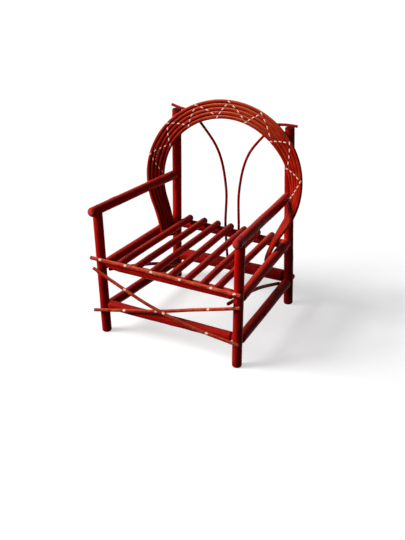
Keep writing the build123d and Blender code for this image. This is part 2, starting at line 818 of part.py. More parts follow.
# seat rails and stretchers
rail_cuts = {
    side: holes([rail_nails[side], bow_nails[side]["rail"][1]]) for side in SIDES
}
for side, rail in seat_rails.items():
    built[rail.label] = straight_stick(rail.label, rail.start, rail.end, rail.outline(), rail_cuts[side])
for rail in side_stretchers.values():
    tail_end = rail.end + rail.direction() * STRETCHER_TAIL
    built[rail.label] = straight_stick(
        rail.label, rail.start, rail.end, rail.outline(), rounds=[(tail_end, TAIL_ROUND)]
    )
built[front_stretcher.label] = straight_stick(
    front_stretcher.label, front_stretcher.start, front_stretcher.end, front_stretcher.outline()
)
# the back stretcher's tenons are notched over the through tenons that they cross
built[back_stretcher.label] = straight_stick(
    back_stretcher.label, back_stretcher.start, back_stretcher.end, back_stretcher.outline(),
    cuts=[rail.last_mortise() for rail in side_stretchers.values()],
)
slat_front_nails = [pair[0] for pair in slat_nails]
slat_back_nails = [pair[1] for pair in slat_nails]
for rail, nails in ((front_rail, slat_front_nails), (back_rail, slat_back_nails)):
    built[rail.label] = straight_stick(
        rail.label, rail.start, rail.end, rail.outline(), holes(nails)
    )

# seat slats: notched over the front and back rails, rounded at both ends
for label, (front, back), nails in zip(slat_names, slat_ends, slat_nails):
    trim_cut = [trim_slat_nails[label].hole()] if label in trim_slat_nails else []
    built[label] = straight_stick(
        label, front, back,
        [(0, SLAT_RADIUS), ((back - front).length, SLAT_RADIUS)],
        cuts=[front_rail.saddle(), back_rail.saddle()] + holes(nails) + trim_cut,
        rounds=[(front, SLAT_END_ROUND), (back, SLAT_END_ROUND)],
    )

# twigs across the front
built["front_trim_twig"] = bent_stick(
    "front_trim_twig", trim_path, TRIM_RADIUS,
    holes([*trim_nails.values(), *trim_slat_nails.values()]),
)
built["cross_twig_a"] = bent_stick(
    "cross_twig_a", falling_path, FALLING_TWIG_RADIUS, holes(falling_nails.values())
)
built["cross_twig_b"] = bent_stick(
    "cross_twig_b", rising_path, RISING_TWIG_RADIUS, holes(rising_nails.values())
)

# bow: five shoots laid side by side that turn edge-on toward their feet
for index in range(BOW_COUNT):
    row = index - OUTER_ROW
    own = [nail for side in SIDES for place, nail in bow_nails[side].values() if place == row]
    label = f"hoop_strand_{index + 1}"
    built[label] = bent_stick(label, shoot_path(row), SHOOT_RADIUS, holes(own))

# thin twigs and braces
for side, name in SIDES.items():
    for kind, points, radius in (
        ("inner", inner_twig_points(side), INNER_TWIG_RADIUS),
        ("top", top_twig_points(side), TOP_TWIG_RADIUS),
        ("brace", brace_points(side), BRACE_RADIUS),
    ):
        label = f"{name}_{kind}_twig"
        built[label] = bent_stick(label, arc_path(points), radius)


def nail_group(label, nails):
    """Several equal nails as one node."""
    with BuildPart() as group:
        for nail in nails:
            head = Plane(origin=nail.seat, z_dir=-nail.direction)
            with BuildSketch(head):
                Circle(NAIL_HEAD_RADIUS)
            extrude(amount=NAIL_HEAD_THICKNESS)
            with BuildSketch(head):
                Circle(NAIL_RADIUS)
            extrude(amount=-nail.length)
    group.part.label = label
    export_step(group.part, f"parts/{label}.step")
    return group.part


built["arm_nails"] = nail_group("arm_nails", arm_nails.values())
built["side_rail_nails"] = nail_group("side_rail_nails", rail_nails.values())
built["slat_front_nails"] = nail_group("slat_front_nails", slat_front_nails)
built["slat_back_nails"] = nail_group("slat_back_nails", slat_back_nails)
built["trim_nails"] = nail_group("trim_nails", [*trim_nails.values(), *trim_slat_nails.values()])
built["cross_twig_nails"] = nail_group(
    "cross_twig_nails", [*falling_nails.values(), *rising_nails.values()]
)
built["bow_nails"] = nail_group(
    "bow_nails", [nail for side in SIDES for _, nail in bow_nails[side].values()]
)
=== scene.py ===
"""A child's twig armchair in worn red paint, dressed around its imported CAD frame."""

import logging
import math
import random
from bisect import bisect_right
from collections.abc import Iterable, Sequence
from dataclasses import dataclass, field
from enum import Enum
from typing import ClassVar

import bpy
from mathutils import Matrix, Vector, noise


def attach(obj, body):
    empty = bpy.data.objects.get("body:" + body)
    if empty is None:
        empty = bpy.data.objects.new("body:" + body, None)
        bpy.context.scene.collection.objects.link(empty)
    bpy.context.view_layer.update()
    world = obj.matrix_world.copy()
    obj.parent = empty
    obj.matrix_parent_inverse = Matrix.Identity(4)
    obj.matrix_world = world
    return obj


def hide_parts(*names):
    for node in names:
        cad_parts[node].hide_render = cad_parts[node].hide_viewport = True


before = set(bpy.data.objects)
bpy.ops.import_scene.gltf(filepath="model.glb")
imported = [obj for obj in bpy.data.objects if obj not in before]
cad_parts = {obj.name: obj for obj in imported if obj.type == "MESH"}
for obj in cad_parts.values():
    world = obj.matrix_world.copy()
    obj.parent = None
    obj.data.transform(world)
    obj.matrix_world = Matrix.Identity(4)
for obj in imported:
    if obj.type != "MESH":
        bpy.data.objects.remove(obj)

Outline = list[tuple[float, float]]
Piece = bpy.types.Object
Socket = bpy.types.NodeSocket
Tree = bpy.types.NodeTree

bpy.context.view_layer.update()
LOG = logging.getLogger("twig_armchair")
MM = 0.001
BODY = "root"
# Y of the front posts' feet in the frame.
FRONT_Y = -176.234
FORWARD = Vector((0, -1, 0))
UP = Vector((0, 0, 1))
# A noise value seldom passes 0.6, and this brings it to about 1.
NOISE_TO_ONE = 1.6
# Blender seeds its vector noise by the clock; a seed of its own gives the same crooks each run.
noise.seed_set(1)


class Side(Enum):
    """The chair's two sides as seen from the front."""

    LEFT = -1
    RIGHT = 1

    @property
    def label(self) -> str:
        """Lower-case name, as in the CAD nodes."""
        return self.name.lower()


# ------------------------------------------------------------------ centre lines


def between(marks: Sequence[float], distance: float) -> tuple[int, float]:
    """Finds where a distance falls among marks; past either end the last stretch runs on.

    Args:
        marks: distances that never fall.
        distance: the distance to find.

    Returns:
        The index of the mark before it, and the share of the way to the next mark.
    """
    low = min(max(bisect_right(marks, distance) - 1, 0), len(marks) - 2)
    span = marks[low + 1] - marks[low]
    return low, (distance - marks[low]) / span if span > 1e-9 else 0.0


class Line:
    """A stick's centre line: a run of points with the distance along it, in mm."""

    def __init__(self, points: Iterable[Vector]) -> None:
        """Keeps the points and adds up the distances between them.

        Args:
            points: the points in mm, from one end to the other.
        """
        self.points = [Vector(p) for p in points]
        self.marks = [0.0]
        for first, last in zip(self.points, self.points[1:]):
            self.marks.append(self.marks[-1] + (last - first).length)

    @property
    def length(self) -> float:
        """Whole length in mm."""
        return self.marks[-1]

    def at(self, distance: float) -> Vector:
        """Finds a point of the line; past either end it runs straight on.

        Args:
            distance: mm from the first point.

        Returns:
            The point in mm.
        """
        low, share = between(self.marks, distance)
        first, last = self.points[low], self.points[low + 1]
        return first + (last - first) * share


def smooth(points: Sequence[Vector], pieces: int = 24) -> Line:
    """Draws a centre line that passes smoothly through a few points.

    Args:
        points: where the stick passes, in mm.
        pieces: short straight pieces between two of the points.

    Returns:
        The centre line.
    """
    last = len(points) - 1
    tangents = [
        (points[min(k + 1, last)] - points[max(k - 1, 0)]) / (2.0 if 0 < k < last else 1.0)
        for k in range(last + 1)
    ]
    run = []
    for k in range(last):
        p0, p1, t0, t1 = points[k], points[k + 1], tangents[k], tangents[k + 1]
        for step in range(pieces):
            t = step / pieces
            run.append(
                p0 * (2 * t**3 - 3 * t**2 + 1) + t0 * (t**3 - 2 * t**2 + t)
                + p1 * (3 * t**2 - 2 * t**3) + t1 * (t**3 - t**2)
            )
    return Line(run + [points[last]])


# ------------------------------------------------------------------ skins


@dataclass
class Skin:
    """A piece's skin while it is being made: points in mm, faces and what its finish reads."""

    points: list[Vector] = field(default_factory=list)
    faces: list[tuple[int, ...]] = field(default_factory=list)
    wood: list[float] = field(default_factory=list)
    worn: list[float] = field(default_factory=list)

    def add(self, points: Iterable[Vector]) -> range:
        """Adds points.

        Args:
            points: the points in mm.

        Returns:
            Their indices.
        """
        first = len(self.points)
        self.points += points
        return range(first, len(self.points))

    def band(self, near: range, far: range, flip: bool = False) -> None:
        """Joins two rings of points by a band of faces.

        Args:
            near: indices of the first ring.
            far: indices of the second ring.
            flip: turns the faces over.
        """
        for k in range(len(near)):
            after = (k + 1) % len(near)
            face = (near[k], near[after], far[after], far[k])
            self.faces.append(face[::-1] if flip else face)

    def fan(self, ring: range, tip: int, flip: bool = False) -> None:
        """Closes a ring with triangles that meet in one point.

        Args:
            ring: indices of the ring.
            tip: index of the point.
            flip: turns the faces over.
        """
        for k in range(len(ring)):
            face = (ring[k], ring[(k + 1) % len(ring)], tip)
            self.faces.append(face[::-1] if flip else face)

    def piece(self, name: str, crisp: float = 180.0) -> Piece:
        """Makes a smoothly shaded piece that rides on the chair.

        Args:
            name: the piece's name.
            crisp: an edge that bends by more than these degrees stays crisp.

        Returns:
            The piece.
        """
        mesh = bpy.data.meshes.new(name)
        mesh.from_pydata([p * MM for p in self.points], [], self.faces)
        if self.wood:
            layer = mesh.attributes.new("wood_mm", "FLOAT_VECTOR", "POINT")
            layer.data.foreach_set("vector", self.wood)
            layer = mesh.attributes.new("worn_end", "FLOAT", "POINT")
            layer.data.foreach_set("value", self.worn)
        mesh.validate()
        mesh.polygons.foreach_set("use_smooth", [True] * len(mesh.polygons))
        mesh.update()
        mesh.set_sharp_from_angle(angle=math.radians(crisp))
        piece = bpy.data.objects.new(name, mesh)
        bpy.context.scene.collection.objects.link(piece)
        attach(piece, BODY)
        return piece


# ------------------------------------------------------------------ sticks


@dataclass(frozen=True)
class Growth:
    """What growing, peeling and age leave on a stick.

    Lengths are in mm, swell is a share of the radius, and the knife facets wander around
    the stick by up to facet_turn radians.
    """

    crook: float = 0.5
    crook_run: float = 110.0
    straight_end: float = 60.0
    swell: float = 0.016
    swell_run: float = 70.0
    swell_detail: float = 0.8
    knots_per_metre: float = 7.0
    knot_height: float = 0.7
    knot_width: float = 5.0
    knotless_end: float = 12.0
    knife_facets: float = 0.12
    facets_around: int = 9
    facet_run: float = 25.0
    facet_turn: float = 5.0
    facet_turn_run: float = 45.0


PEELED_POLE = Growth()
PEELED_RAIL = Growth(crook=0.6, swell=0.018, knots_per_metre=9.0)
SLAT_STICK = Growth(swell=0.02, knots_per_metre=9.0, knot_height=0.6, knot_width=4.0)
SHOOT = Growth(crook=0.0, swell=0.012, knots_per_metre=5.0, knot_height=0.25, knot_width=3.0,
               knife_facets=0.04)
TWIG = Growth(swell=0.05, knots_per_metre=14.0, knot_height=0.55, knot_width=2.6)
THIN_TWIG = Growth(crook=0.3, swell=0.02, knots_per_metre=4.0, knot_height=0.2, knot_width=2.4,
                   knife_facets=0.0)


def rounded_tip(radius: float, rounding: float, steps: int = 6) -> Outline:
    """Outlines a worn-round end, from the tip's rim to the full radius.

    Args:
        radius: the stick's radius.
        rounding: radius of the worn edge.
        steps: pieces of the quarter circle.

    Returns:
        (distance from the tip, radius) pairs.
    """
    turns = [math.pi / 2 * step / steps for step in range(steps + 1)]
    return [(rounding * (1 - math.cos(t)), radius - rounding * (1 - math.sin(t))) for t in turns]


def ends_worn(length: float, radius: float, first: float, last: float,
              start: float = 0.0) -> Outline:
    """Outlines a plain stick with both ends worn round.

    Args:
        length: distance of the far tip.
        radius: radius all along.
        first: rounding of the near end.
        last: rounding of the far end.
        start: distance of the near tip.

    Returns:
        (distance, radius) pairs.
    """
    near = [(start + s, r) for s, r in rounded_tip(radius, first)]
    return near + [(length - s, r) for s, r in reversed(rounded_tip(radius, last))]


@dataclass
class Stick:
    """One round stick: where it runs, how thick it is and what grew on it.

    The outline is a run of (distance, radius) pairs from tip to tip. An angle around the
    stick is in radians from the direction that it faces.
    """

    node: str
    line: Line
    outline: Outline
    growth: Growth
    seed: int
    sides: int = 28
    step: float = 2.5
    toward: Vector = field(default_factory=lambda: FORWARD.copy())
    sawn_at_floor: bool = False
    worn_reach: tuple[float, float] = (4.0, 4.0)
    name: str = ""

    SHOULDER_ANGLE: ClassVar[float] = 50.0
    # Two rings inside an end's rim: share of its radius, and how far they rise.
    END_RINGS: ClassVar[Outline] = [(0.72, 0.15), (0.4, 0.24)]
    END_FLAW: ClassVar[float] = 0.25
    END_RISE: ClassVar[float] = 0.3
    # Past this many widths a knot no longer shows.
    KNOT_REACH: ClassVar[float] = 3.2
    KNOT_LENGTH: ClassVar[float] = 1.5
    KNOT_HEIGHTS: ClassVar[tuple[float, float]] = (0.5, 1.0)
    KNOT_WIDTHS: ClassVar[tuple[float, float]] = (0.8, 1.25)
    DIP_DEPTH: ClassVar[float] = 0.7
    DIP_WIDTH: ClassVar[float] = 0.3
    # Each stick takes its noise from its own place, up to this far away.
    NOISE_SPAN: ClassVar[float] = 99.0

    def __post_init__(self) -> None:
        """Grows the knots, and works out the rings and their frames once."""
        chance, growth = random.Random(self.seed), self.growth
        start, end = self.outline[0][0], self.outline[-1][0]
        self.knots = [
            (chance.uniform(start + growth.knotless_end, end - growth.knotless_end),
             chance.uniform(0, math.tau), growth.knot_height * chance.uniform(*self.KNOT_HEIGHTS),
             growth.knot_width * chance.uniform(*self.KNOT_WIDTHS))
            for _ in range(round((end - start) / 1000 * growth.knots_per_metre))
        ]
        self.phase = Vector([chance.uniform(0, self.NOISE_SPAN) for _ in range(3)])
        self.angles = [math.tau * side / self.sides for side in range(self.sides)]
        self.rings: list[float] = []
        self.radii: list[float] = []
        for (s0, r0), (s1, r1) in zip(self.outline, self.outline[1:]):
            pieces = max(1, math.ceil(abs(s1 - s0) / self.step))
            self.rings += [s0 + (s1 - s0) * k / pieces for k in range(pieces)]
            self.radii += [r0 + (r1 - r0) * k / pieces for k in range(pieces)]
        self.rings.append(end)
        self.radii.append(self.outline[-1][1])
        self.frames = self._ring_frames()

    def _ring_frames(self) -> list[tuple[Vector, Vector, Vector]]:
        """Finds how each ring stands, turned as little as possible from the last one.

        Returns:
            Centre and two cross directions of each ring.
        """
        frames = []
        across, reach = None, 1.5
        for distance in self.rings:
            ahead = (self.line.at(distance + reach) - self.line.at(distance - reach)).normalized()
            if across is None:
                across = self.toward - ahead * self.toward.dot(ahead)
                if across.length < 0.1:
                    across = UP - ahead * UP.dot(ahead)
            across = (across - ahead * across.dot(ahead)).normalized()
            frames.append((self._centre(distance), across, ahead.cross(across)))
        return frames

    def _centre(self, distance: float) -> Vector:
        """Finds the middle of the stick, with its own slight crook added.

        Args:
            distance: mm along the stick.

        Returns:
            The point in mm.
        """
        point, growth = self.line.at(distance), self.growth
        if not growth.crook:
            return point
        from_end = max(0.0, min(distance, self.line.length - distance))
        drift = noise.noise_vector(self.phase + UP * distance / growth.crook_run)
        fade = min(1.0, from_end / growth.straight_end)
        return point + drift * growth.crook * NOISE_TO_ONE * fade

    def _outline_radius(self, distance: float) -> float:
        """Finds the outline's radius; a step gives its larger side.

        Args:
            distance: mm along the stick.

        Returns:
            The radius in mm, or 0 past either end.
        """
        found = 0.0
        for (s0, r0), (s1, r1) in zip(self.outline, self.outline[1:]):
            if s0 <= distance <= s1:
                share = (distance - s0) / (s1 - s0) if s1 > s0 else 0.0
                found = max(found, r0 + (r1 - r0) * share)
        return found

    def _grown(self, radius: float, distance: float, angle: float) -> float:
        """Adds swelling, knife facets and knots to a radius.

        Args:
            radius: the outline's radius in mm.
            distance: mm along the stick.
            angle: radians around it.

        Returns:
            The radius of the skin in mm.
        """
        growth = self.growth
        way = Vector((math.cos(angle), math.sin(angle), distance / growth.swell_run))
        radius *= 1 + growth.swell * noise.noise(self.phase + way * growth.swell_detail)
        turned = growth.facet_turn * noise.noise(self.phase + UP * distance / growth.facet_turn_run)
        depth = noise.noise(self.phase + UP * distance / growth.facet_run)
        radius += growth.knife_facets * math.sin(growth.facets_around * angle + turned) * depth
        for place, turn, height, width in self.knots:
            along = distance - place
            if abs(along) > self.KNOT_REACH * width:
                continue
            around = (angle - turn + math.pi) % math.tau - math.pi
            gap = (along / self.KNOT_LENGTH) ** 2 + (around * radius) ** 2
            radius += height * math.exp(-gap / (2 * width**2))
            # The cut branch leaves a small dip in the middle of the knot.
            dip = math.exp(-gap / (2 * (self.DIP_WIDTH * width) ** 2))
            radius -= self.DIP_DEPTH * height * dip
        return radius

    def frame_at(self, distance: float) -> tuple[Vector, ...]:
        """Centre and two cross directions at any distance, between two rings."""
        low, share = between(self.rings, distance)
        return tuple(a.lerp(b, share) for a, b in zip(self.frames[low], self.frames[low + 1]))

    def surface(self, distance: float, angle: float, lift: float = 0.0) -> Vector:
        """Finds a point on the stick's skin.

        Args:
            distance: mm along the stick.
            angle: radians around it.
            lift: mm above the skin.

        Returns:
            The point in mm.
        """
        centre, across, over = self.frame_at(distance)
        radius = self._grown(self._outline_radius(distance), distance, angle) + lift
        return centre + across * math.cos(angle) * radius + over * math.sin(angle) * radius

    def skin_girth(self, distance: float) -> float:
        """The radius that turns mm around the stick into an angle, never below 1 mm."""
        return max(self._outline_radius(distance), 1.0)

    def angle_of(self, distance: float, direction: Vector) -> float:
        """The angle around the stick, at a distance along it, that faces a direction."""
        _, across, over = self.frame_at(distance)
        return math.atan2(direction.dot(over), direction.dot(across))

    def distance_at_x(self, x: float) -> float:
        """Finds where a twig that runs from left to right passes an X place.

        Args:
            x: the place in mm.

        Returns:
            The distance along the twig in mm.
        """
        low, high = self.outline[0][0], self.outline[-1][0]
        for _ in range(30):
            middle = (low + high) / 2
            if self.line.at(middle).x < x:
                low = middle
            else:
                high = middle
        return low

    def _add_ring(self, skin: Skin, index: int, radii: Sequence[float], worn: float,
                  lifts: Sequence[float]) -> range:
        """Adds a ring of points, with the place in the wood that the finish reads.

        Args:
            skin: the skin, added to.
            index: which of the stick's rings it belongs to.
            radii: radius of each point in mm.
            worn: how dark the end is there, from 0 to 1: end grain, with painted shade
                where the dark reaches far along.
            lifts: mm that each point stands past the ring along the stick.

        Returns:
            Indices of the points.
        """
        centre, across, over = self.frames[index]
        ahead = across.cross(over)
        points = []
        for angle, radius, lift in zip(self.angles, radii, lifts):
            x, y = math.cos(angle), math.sin(angle)
            points.append(centre + (across * x + over * y) * radius + ahead * lift)
            skin.wood += (x * radius, y * radius, self.rings[index])
            skin.worn.append(worn)
        return skin.add(points)

    def _cap(self, skin: Skin, index: int, rim: range, outward: int) -> None:
        """Closes one end with two shrinking rings and a middle point.

        Args:
            skin: the skin, added to.
            index: which of the stick's rings the end is.
            rim: indices of that ring's points.
            outward: -1 for the near end, 1 for the far end.
        """
        for share, rise in self.END_RINGS:
            flaws = [noise.noise(self.phase + Vector((math.cos(a), math.sin(a), share)))
                     for a in self.angles]
            lifts = [outward * (rise + flaw * self.END_FLAW) for flaw in flaws]
            inner = self._add_ring(
                skin, index, [self.radii[index] * share] * self.sides, 1.0, lifts)
            skin.band(rim, inner, flip=outward < 0)
            rim = inner
        centre, across, over = self.frames[index]
        middle = skin.add([centre + across.cross(over) * outward * self.END_RISE])
        skin.wood += (0.0, 0.0, self.rings[index])
        skin.worn.append(1.0)
        skin.fan(rim, middle[0], flip=outward < 0)

    def build(self) -> Piece:
        """Makes the stick's closed mesh, with wood coordinates for its finish.

        Returns:
            The piece, riding on the chair and standing for its CAD node.
        """
        skin, rings, flat = Skin(), [], [0.0] * self.sides
        for index, (distance, radius) in enumerate(zip(self.rings, self.radii)):
            # Dark ends: end grain, and painted shade where the reach is long, as on the slats' back ends
            # and the stretchers' tails.
            worn = max(math.exp(-(distance - self.rings[0]) / self.worn_reach[0]),
                       math.exp(-(self.rings[-1] - distance) / self.worn_reach[1]))
            radii = [self._grown(radius, distance, angle) for angle in self.angles]
            rings.append(self._add_ring(skin, index, radii, worn, flat))
        for near, far in zip(rings, rings[1:]):
            skin.band(near, far)
        self._cap(skin, 0, rings[0], -1)
        self._cap(skin, len(rings) - 1, rings[-1], 1)
        if self.sawn_at_floor:
            for point in skin.points:
                point.z = max(point.z, 0.0)
        piece = skin.piece(self.name or f"{self.node}_stick", self.SHOULDER_ANGLE)
        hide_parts(self.node)
        return piece


# ------------------------------------------------------------------ dabs of paint


@dataclass
class PaintDab:
    """A dab of thick off-white paint that follows the skin of a stick, in mm."""

    stick: Stick
    distance: float
    angle: float
    length: float
    width: float
    heading: float
    seed: int

    THICKNESS: ClassVar[float] = 0.22
    AROUND: ClassVar[int] = 18
    # Share of the dab's reach and share of its thickness, from the rim to the top.
    RINGS: ClassVar[Outline] = [(1.0, -0.12), (0.93, 0.55), (0.6, 1.0)]
    MIDDLE: ClassVar[float] = 0.85
    UNDER: ClassVar[float] = -0.4
    RAGGED: ClassVar[float] = 0.22
    RAGGED_DETAIL: ClassVar[float] = 1.3
    # 2 would give an ellipse; a brush tip leaves a squarer end.
    SQUARENESS: ClassVar[int] = 3

    def add_to(self, skin: Skin) -> None:
        """Adds the dab's points and faces, closed underneath.

        Args:
            skin: the skin that the dabs share, added to.
        """
        chance = random.Random(self.seed)
        phase = Vector((chance.uniform(0, 50), chance.uniform(0, 50), 0.0))
        rings = []
        for share, rise in self.RINGS:
            points = []
            for k in range(self.AROUND):
                turn = math.tau * k / self.AROUND
                x, y = math.cos(turn), math.sin(turn)
                way = phase + Vector((x, y, 0)) * self.RAGGED_DETAIL
                edge = 1 + self.RAGGED * noise.noise(way)
                square = abs(x)**self.SQUARENESS + abs(y)**self.SQUARENESS
                reach = edge * share / square**(1 / self.SQUARENESS)
                points.append(self._place(
                    x * self.length / 2 * reach, y * self.width / 2 * reach, self.THICKNESS * rise))
            rings.append(skin.add(points))
        top, under = skin.add([
            self._place(0.0, 0.0, self.THICKNESS * self.MIDDLE), self._place(0.0, 0.0, self.UNDER)])
        for near, far in zip(rings, rings[1:]):
            skin.band(near, far)
        skin.fan(rings[-1], top)
        skin.fan(rings[0], under, flip=True)

    def _place(self, x: float, y: float, lift: float) -> Vector:
        """Finds a point of the dab on its stick.

        Args:
            x: mm along the dab.
            y: mm across it.
            lift: mm above the stick's skin.

        Returns:
            The point in mm.
        """
        along = x * math.cos(self.heading) - y * math.sin(self.heading)
        over = x * math.sin(self.heading) + y * math.cos(self.heading)
        turn = over / self.stick.skin_girth(self.distance)
        return self.stick.surface(self.distance + along, self.angle + turn, lift)


# ------------------------------------------------------------------ finishes


def to_linear(code: str) -> tuple[float, float, float, float]:
    """Turns an sRGB hex value into a linear colour with alpha 1.

    Args:
        code: the value, such as #b80b06.

    Returns:
        Red, green, blue and alpha.
    """
    channels = []
    for start in (1, 3, 5):
        value = int(code[start:start + 2], 16) / 255
        channels.append(value / 12.92 if value <= 0.04045 else ((value + 0.055) / 1.055) ** 2.4)
    return (*channels, 1.0)


def add_node(tree: Tree, kind: str, settings: dict | None = None,
             values: dict | None = None) -> bpy.types.Node:
    """Adds a node with its settings, and its inputs' values or links.

    Args:
        tree: the node tree.
        kind: the node's type name.
        settings: attribute names and values.
        values: input names or indices, each with a value or an output socket.

    Returns:
        The node.
    """
    node = tree.nodes.new(kind)
    for key, value in (settings or {}).items():
        setattr(node, key, value)
    for key, value in (values or {}).items():
        if isinstance(value, Socket):
            tree.links.new(value, node.inputs[key])
        else:
            node.inputs[key].default_value = value
    return node


def lay_over(tree: Tree, below: Socket | tuple, above: str, where: Socket,
             rise: tuple[float, float], share: Socket | float = 1.0) -> Socket:
    """Lays one colour over another where a value passes from one level to another.

    Args:
        tree: the node tree.
        below: the colour that is there already.
        above: the new colour, as an sRGB hex value.
        where: the value that says where it lies.
        rise: levels at which it starts to show and shows in full; the second may be lower.
        share: how much of it shows in full.

    Returns:
        The colour with the new one laid over it.
    """
    amount = add_node(tree, "ShaderNodeMapRange", {"interpolation_type": "SMOOTHSTEP"}, {
        "Value": where, "From Min": rise[0], "From Max": rise[1], "To Max": share})
    mixed = add_node(tree, "ShaderNodeMix", {"data_type": "RGBA"},
                     {0: amount.outputs[0], 6: below, 7: to_linear(above)})
    return mixed.outputs[2]


@dataclass(frozen=True)
class Finish:
    """A finish, named for the real one."""

    name: str

    def build(self) -> bpy.types.Material:
        """Makes the material.

        Returns:
            The material.
        """
        material = bpy.data.materials.new(self.name)
        material.use_nodes = True
        tree = material.node_tree
        tree.nodes.clear()
        add_node(tree, "ShaderNodeOutputMaterial", None, {"Surface": self.shader(tree)})
        return material

    def shader(self, tree: Tree) -> Socket:
        """Adds the finish's own nodes and gives its shader."""
        raise NotImplementedError


@dataclass(frozen=True)
class BrushedEnamel(Finish):
    """Old oil enamel brushed on peeled wood.

    The coat is thick and deep red. Faint long streaks follow the grain where the brush
    pulled it thin, and ends are darker where the end grain drank the oil, and also from
    painted shade where that dark reaches far along a stick. Upward faces carry a paler
    painted sheen, and the lower sticks darken towards the floor as painted shade.
    """

    paint: str = "#b80b06"
    thin: str = "#c41a09"
    thin_share: float = 0.55
    thin_streaks: tuple[float, float] = (0.4, 0.7)
    deep: str = "#8c0604"
    deep_share: float = 0.5
    deep_blotches: tuple[float, float] = (0.52, 0.3)
    # Painted sheen: a paler colour laid on faces that look upward, with its share and start.
    faded_top: str = "#b9503f"
    fade: float = 0.22
    fade_from: float = 0.72
    rubbed: str = "#b8653a"
    rubbed_share: float = 0.08
    rubbed_blotches: tuple[float, float] = (0.45, 0.7)
    rubbed_grain: tuple[float, float] = (0.4, 0.62)
    end_grain: str = "#240605"
    end_share: float = 0.85
    end_worn: tuple[float, float] = (0.3, 0.95)
    # Painted shade: the paint darkens between these heights above the floor, below the seat.
    soiled: str = "#3c0503"
    soiled_share: float = 0.3
    soiled_below_mm: tuple[float, float] = (205.0, 110.0)
    # Painted shade: a darker band on the sides of a stick that face its neighbours.
    groove: str = "#3a0503"
    groove_share: float = 0.0
    groove_side_mm: tuple[float, float] = (2.7, 4.8)
    fleck: str = "#3a0604"
    fleck_share: float = 0.005
    fleck_edge: tuple[float, float] = (0.42, 0.25)
    fleck_blur: tuple[float, float] = (1.2, 0.8)
    roughness: tuple[float, float] = (0.37, 0.52)
    rough_blotches: tuple[float, float] = (0.3, 0.7)
    specular: float = 0.03
    streak_width_mm: float = 2.4
    streak_length_mm: float = 60.0
    blotch_mm: float = 42.0
    # How much finer the fine grain is than the streaks, and the streaks' share of the bump.
    fine_scale: float = 2.6
    streak_bump: float = 1.4
    fleck_mm: float = 3.6
    bump_mm: float = 0.12
    # Each stick takes its paint from its own place, up to this far away.
    away_mm: tuple[float, float, float] = (900.0, 1700.0, 0.0)

    def shader(self, tree: Tree) -> Socket:
        """Adds the coat with its streaks, wear, painted sheen and painted shade, flecks, and its soft
        gloss.

        Args:
            tree: the material's node tree.

        Returns:
            The shader.
        """
        wood = add_node(tree, "ShaderNodeAttribute", {"attribute_name": "wood_mm"}).outputs["Vector"]
        chance = add_node(tree, "ShaderNodeObjectInfo").outputs["Random"]
        place = add_node(tree, "ShaderNodeVectorMath", {"operation": "MULTIPLY_ADD"},
                         {0: chance, 1: self.away_mm, 2: wood}).outputs[0]
        across, along = 1 / self.streak_width_mm, 1 / self.streak_length_mm
        grain = add_node(tree, "ShaderNodeMapping", None,
                         {"Vector": place, "Scale": (across, across, along)}).outputs[0]
        streaks = add_node(tree, "ShaderNodeTexNoise", None, {
            "Vector": grain, "Scale": 1.0, "Detail": 3.0, "Roughness": 0.5}).outputs[0]
        blotches = add_node(tree, "ShaderNodeTexNoise", None, {
            "Vector": place, "Scale": 1 / self.blotch_mm, "Detail": 2.0}).outputs[0]
        fine = add_node(tree, "ShaderNodeTexNoise", None, {
            "Vector": grain, "Scale": self.fine_scale, "Detail": 2.0, "Roughness": 0.6}).outputs[0]
        colour = lay_over(tree, to_linear(self.paint), self.thin, streaks, self.thin_streaks,
                          self.thin_share)
        colour = lay_over(tree, colour, self.deep, blotches, self.deep_blotches, self.deep_share)
        # Painted shade in the grooves between neighbouring shoots.
        if self.groove_share:
            sideways = add_node(tree, "ShaderNodeSeparateXYZ", None, {0: wood}).outputs[1]
            side = add_node(tree, "ShaderNodeMath", {"operation": "ABSOLUTE"}, {0: sideways})
            colour = lay_over(tree, colour, self.groove, side.outputs[0], self.groove_side_mm,
                              self.groove_share)
        colour = self._flecked(tree, self._worn(tree, colour, blotches, fine), place)
        rough = add_node(tree, "ShaderNodeMapRange", None, {
            "Value": blotches, "From Min": self.rough_blotches[0],
            "From Max": self.rough_blotches[1], "To Min": self.roughness[0],
            "To Max": self.roughness[1]}).outputs[0]
        height = add_node(tree, "ShaderNodeMath", {"operation": "MULTIPLY_ADD"},
                          {0: streaks, 1: self.streak_bump, 2: fine}).outputs[0]
        bump = add_node(tree, "ShaderNodeBump", None, {
            "Height": height, "Strength": 0.4, "Distance": self.bump_mm * MM}).outputs[0]
        return add_node(tree, "ShaderNodeBsdfPrincipled", None, {
            "Base Color": colour, "Roughness": rough, "IOR": 1.48,
            "Specular IOR Level": self.specular, "Normal": bump}).outputs[0]

    def _worn(self, tree: Tree, colour: Socket, blotches: Socket, fine: Socket) -> Socket:
        """Adds the painted sheen on upward faces, the rubbed places, the painted shade towards
        the floor and the dark ends.

        Args:
            tree: the material's node tree.
            colour: the coat's colour.
            blotches: the value of the wide blotches.
            fine: the value of the fine grain.

        Returns:
            The worn coat's colour.
        """
        # Painted sheen: the paler colour on faces that look upward.
        normal = add_node(tree, "ShaderNodeNewGeometry").outputs["Normal"]
        upness = add_node(tree, "ShaderNodeSeparateXYZ", None, {0: normal}).outputs[2]
        colour = lay_over(tree, colour, self.faded_top, upness, (self.fade_from, 1.0), self.fade)
        patches = add_node(tree, "ShaderNodeMapRange", {"interpolation_type": "SMOOTHSTEP"}, {
            "Value": blotches, "From Min": self.rubbed_blotches[0],
            "From Max": self.rubbed_blotches[1], "To Max": self.rubbed_share}).outputs[0]
        colour = lay_over(tree, colour, self.rubbed, fine, self.rubbed_grain, patches)
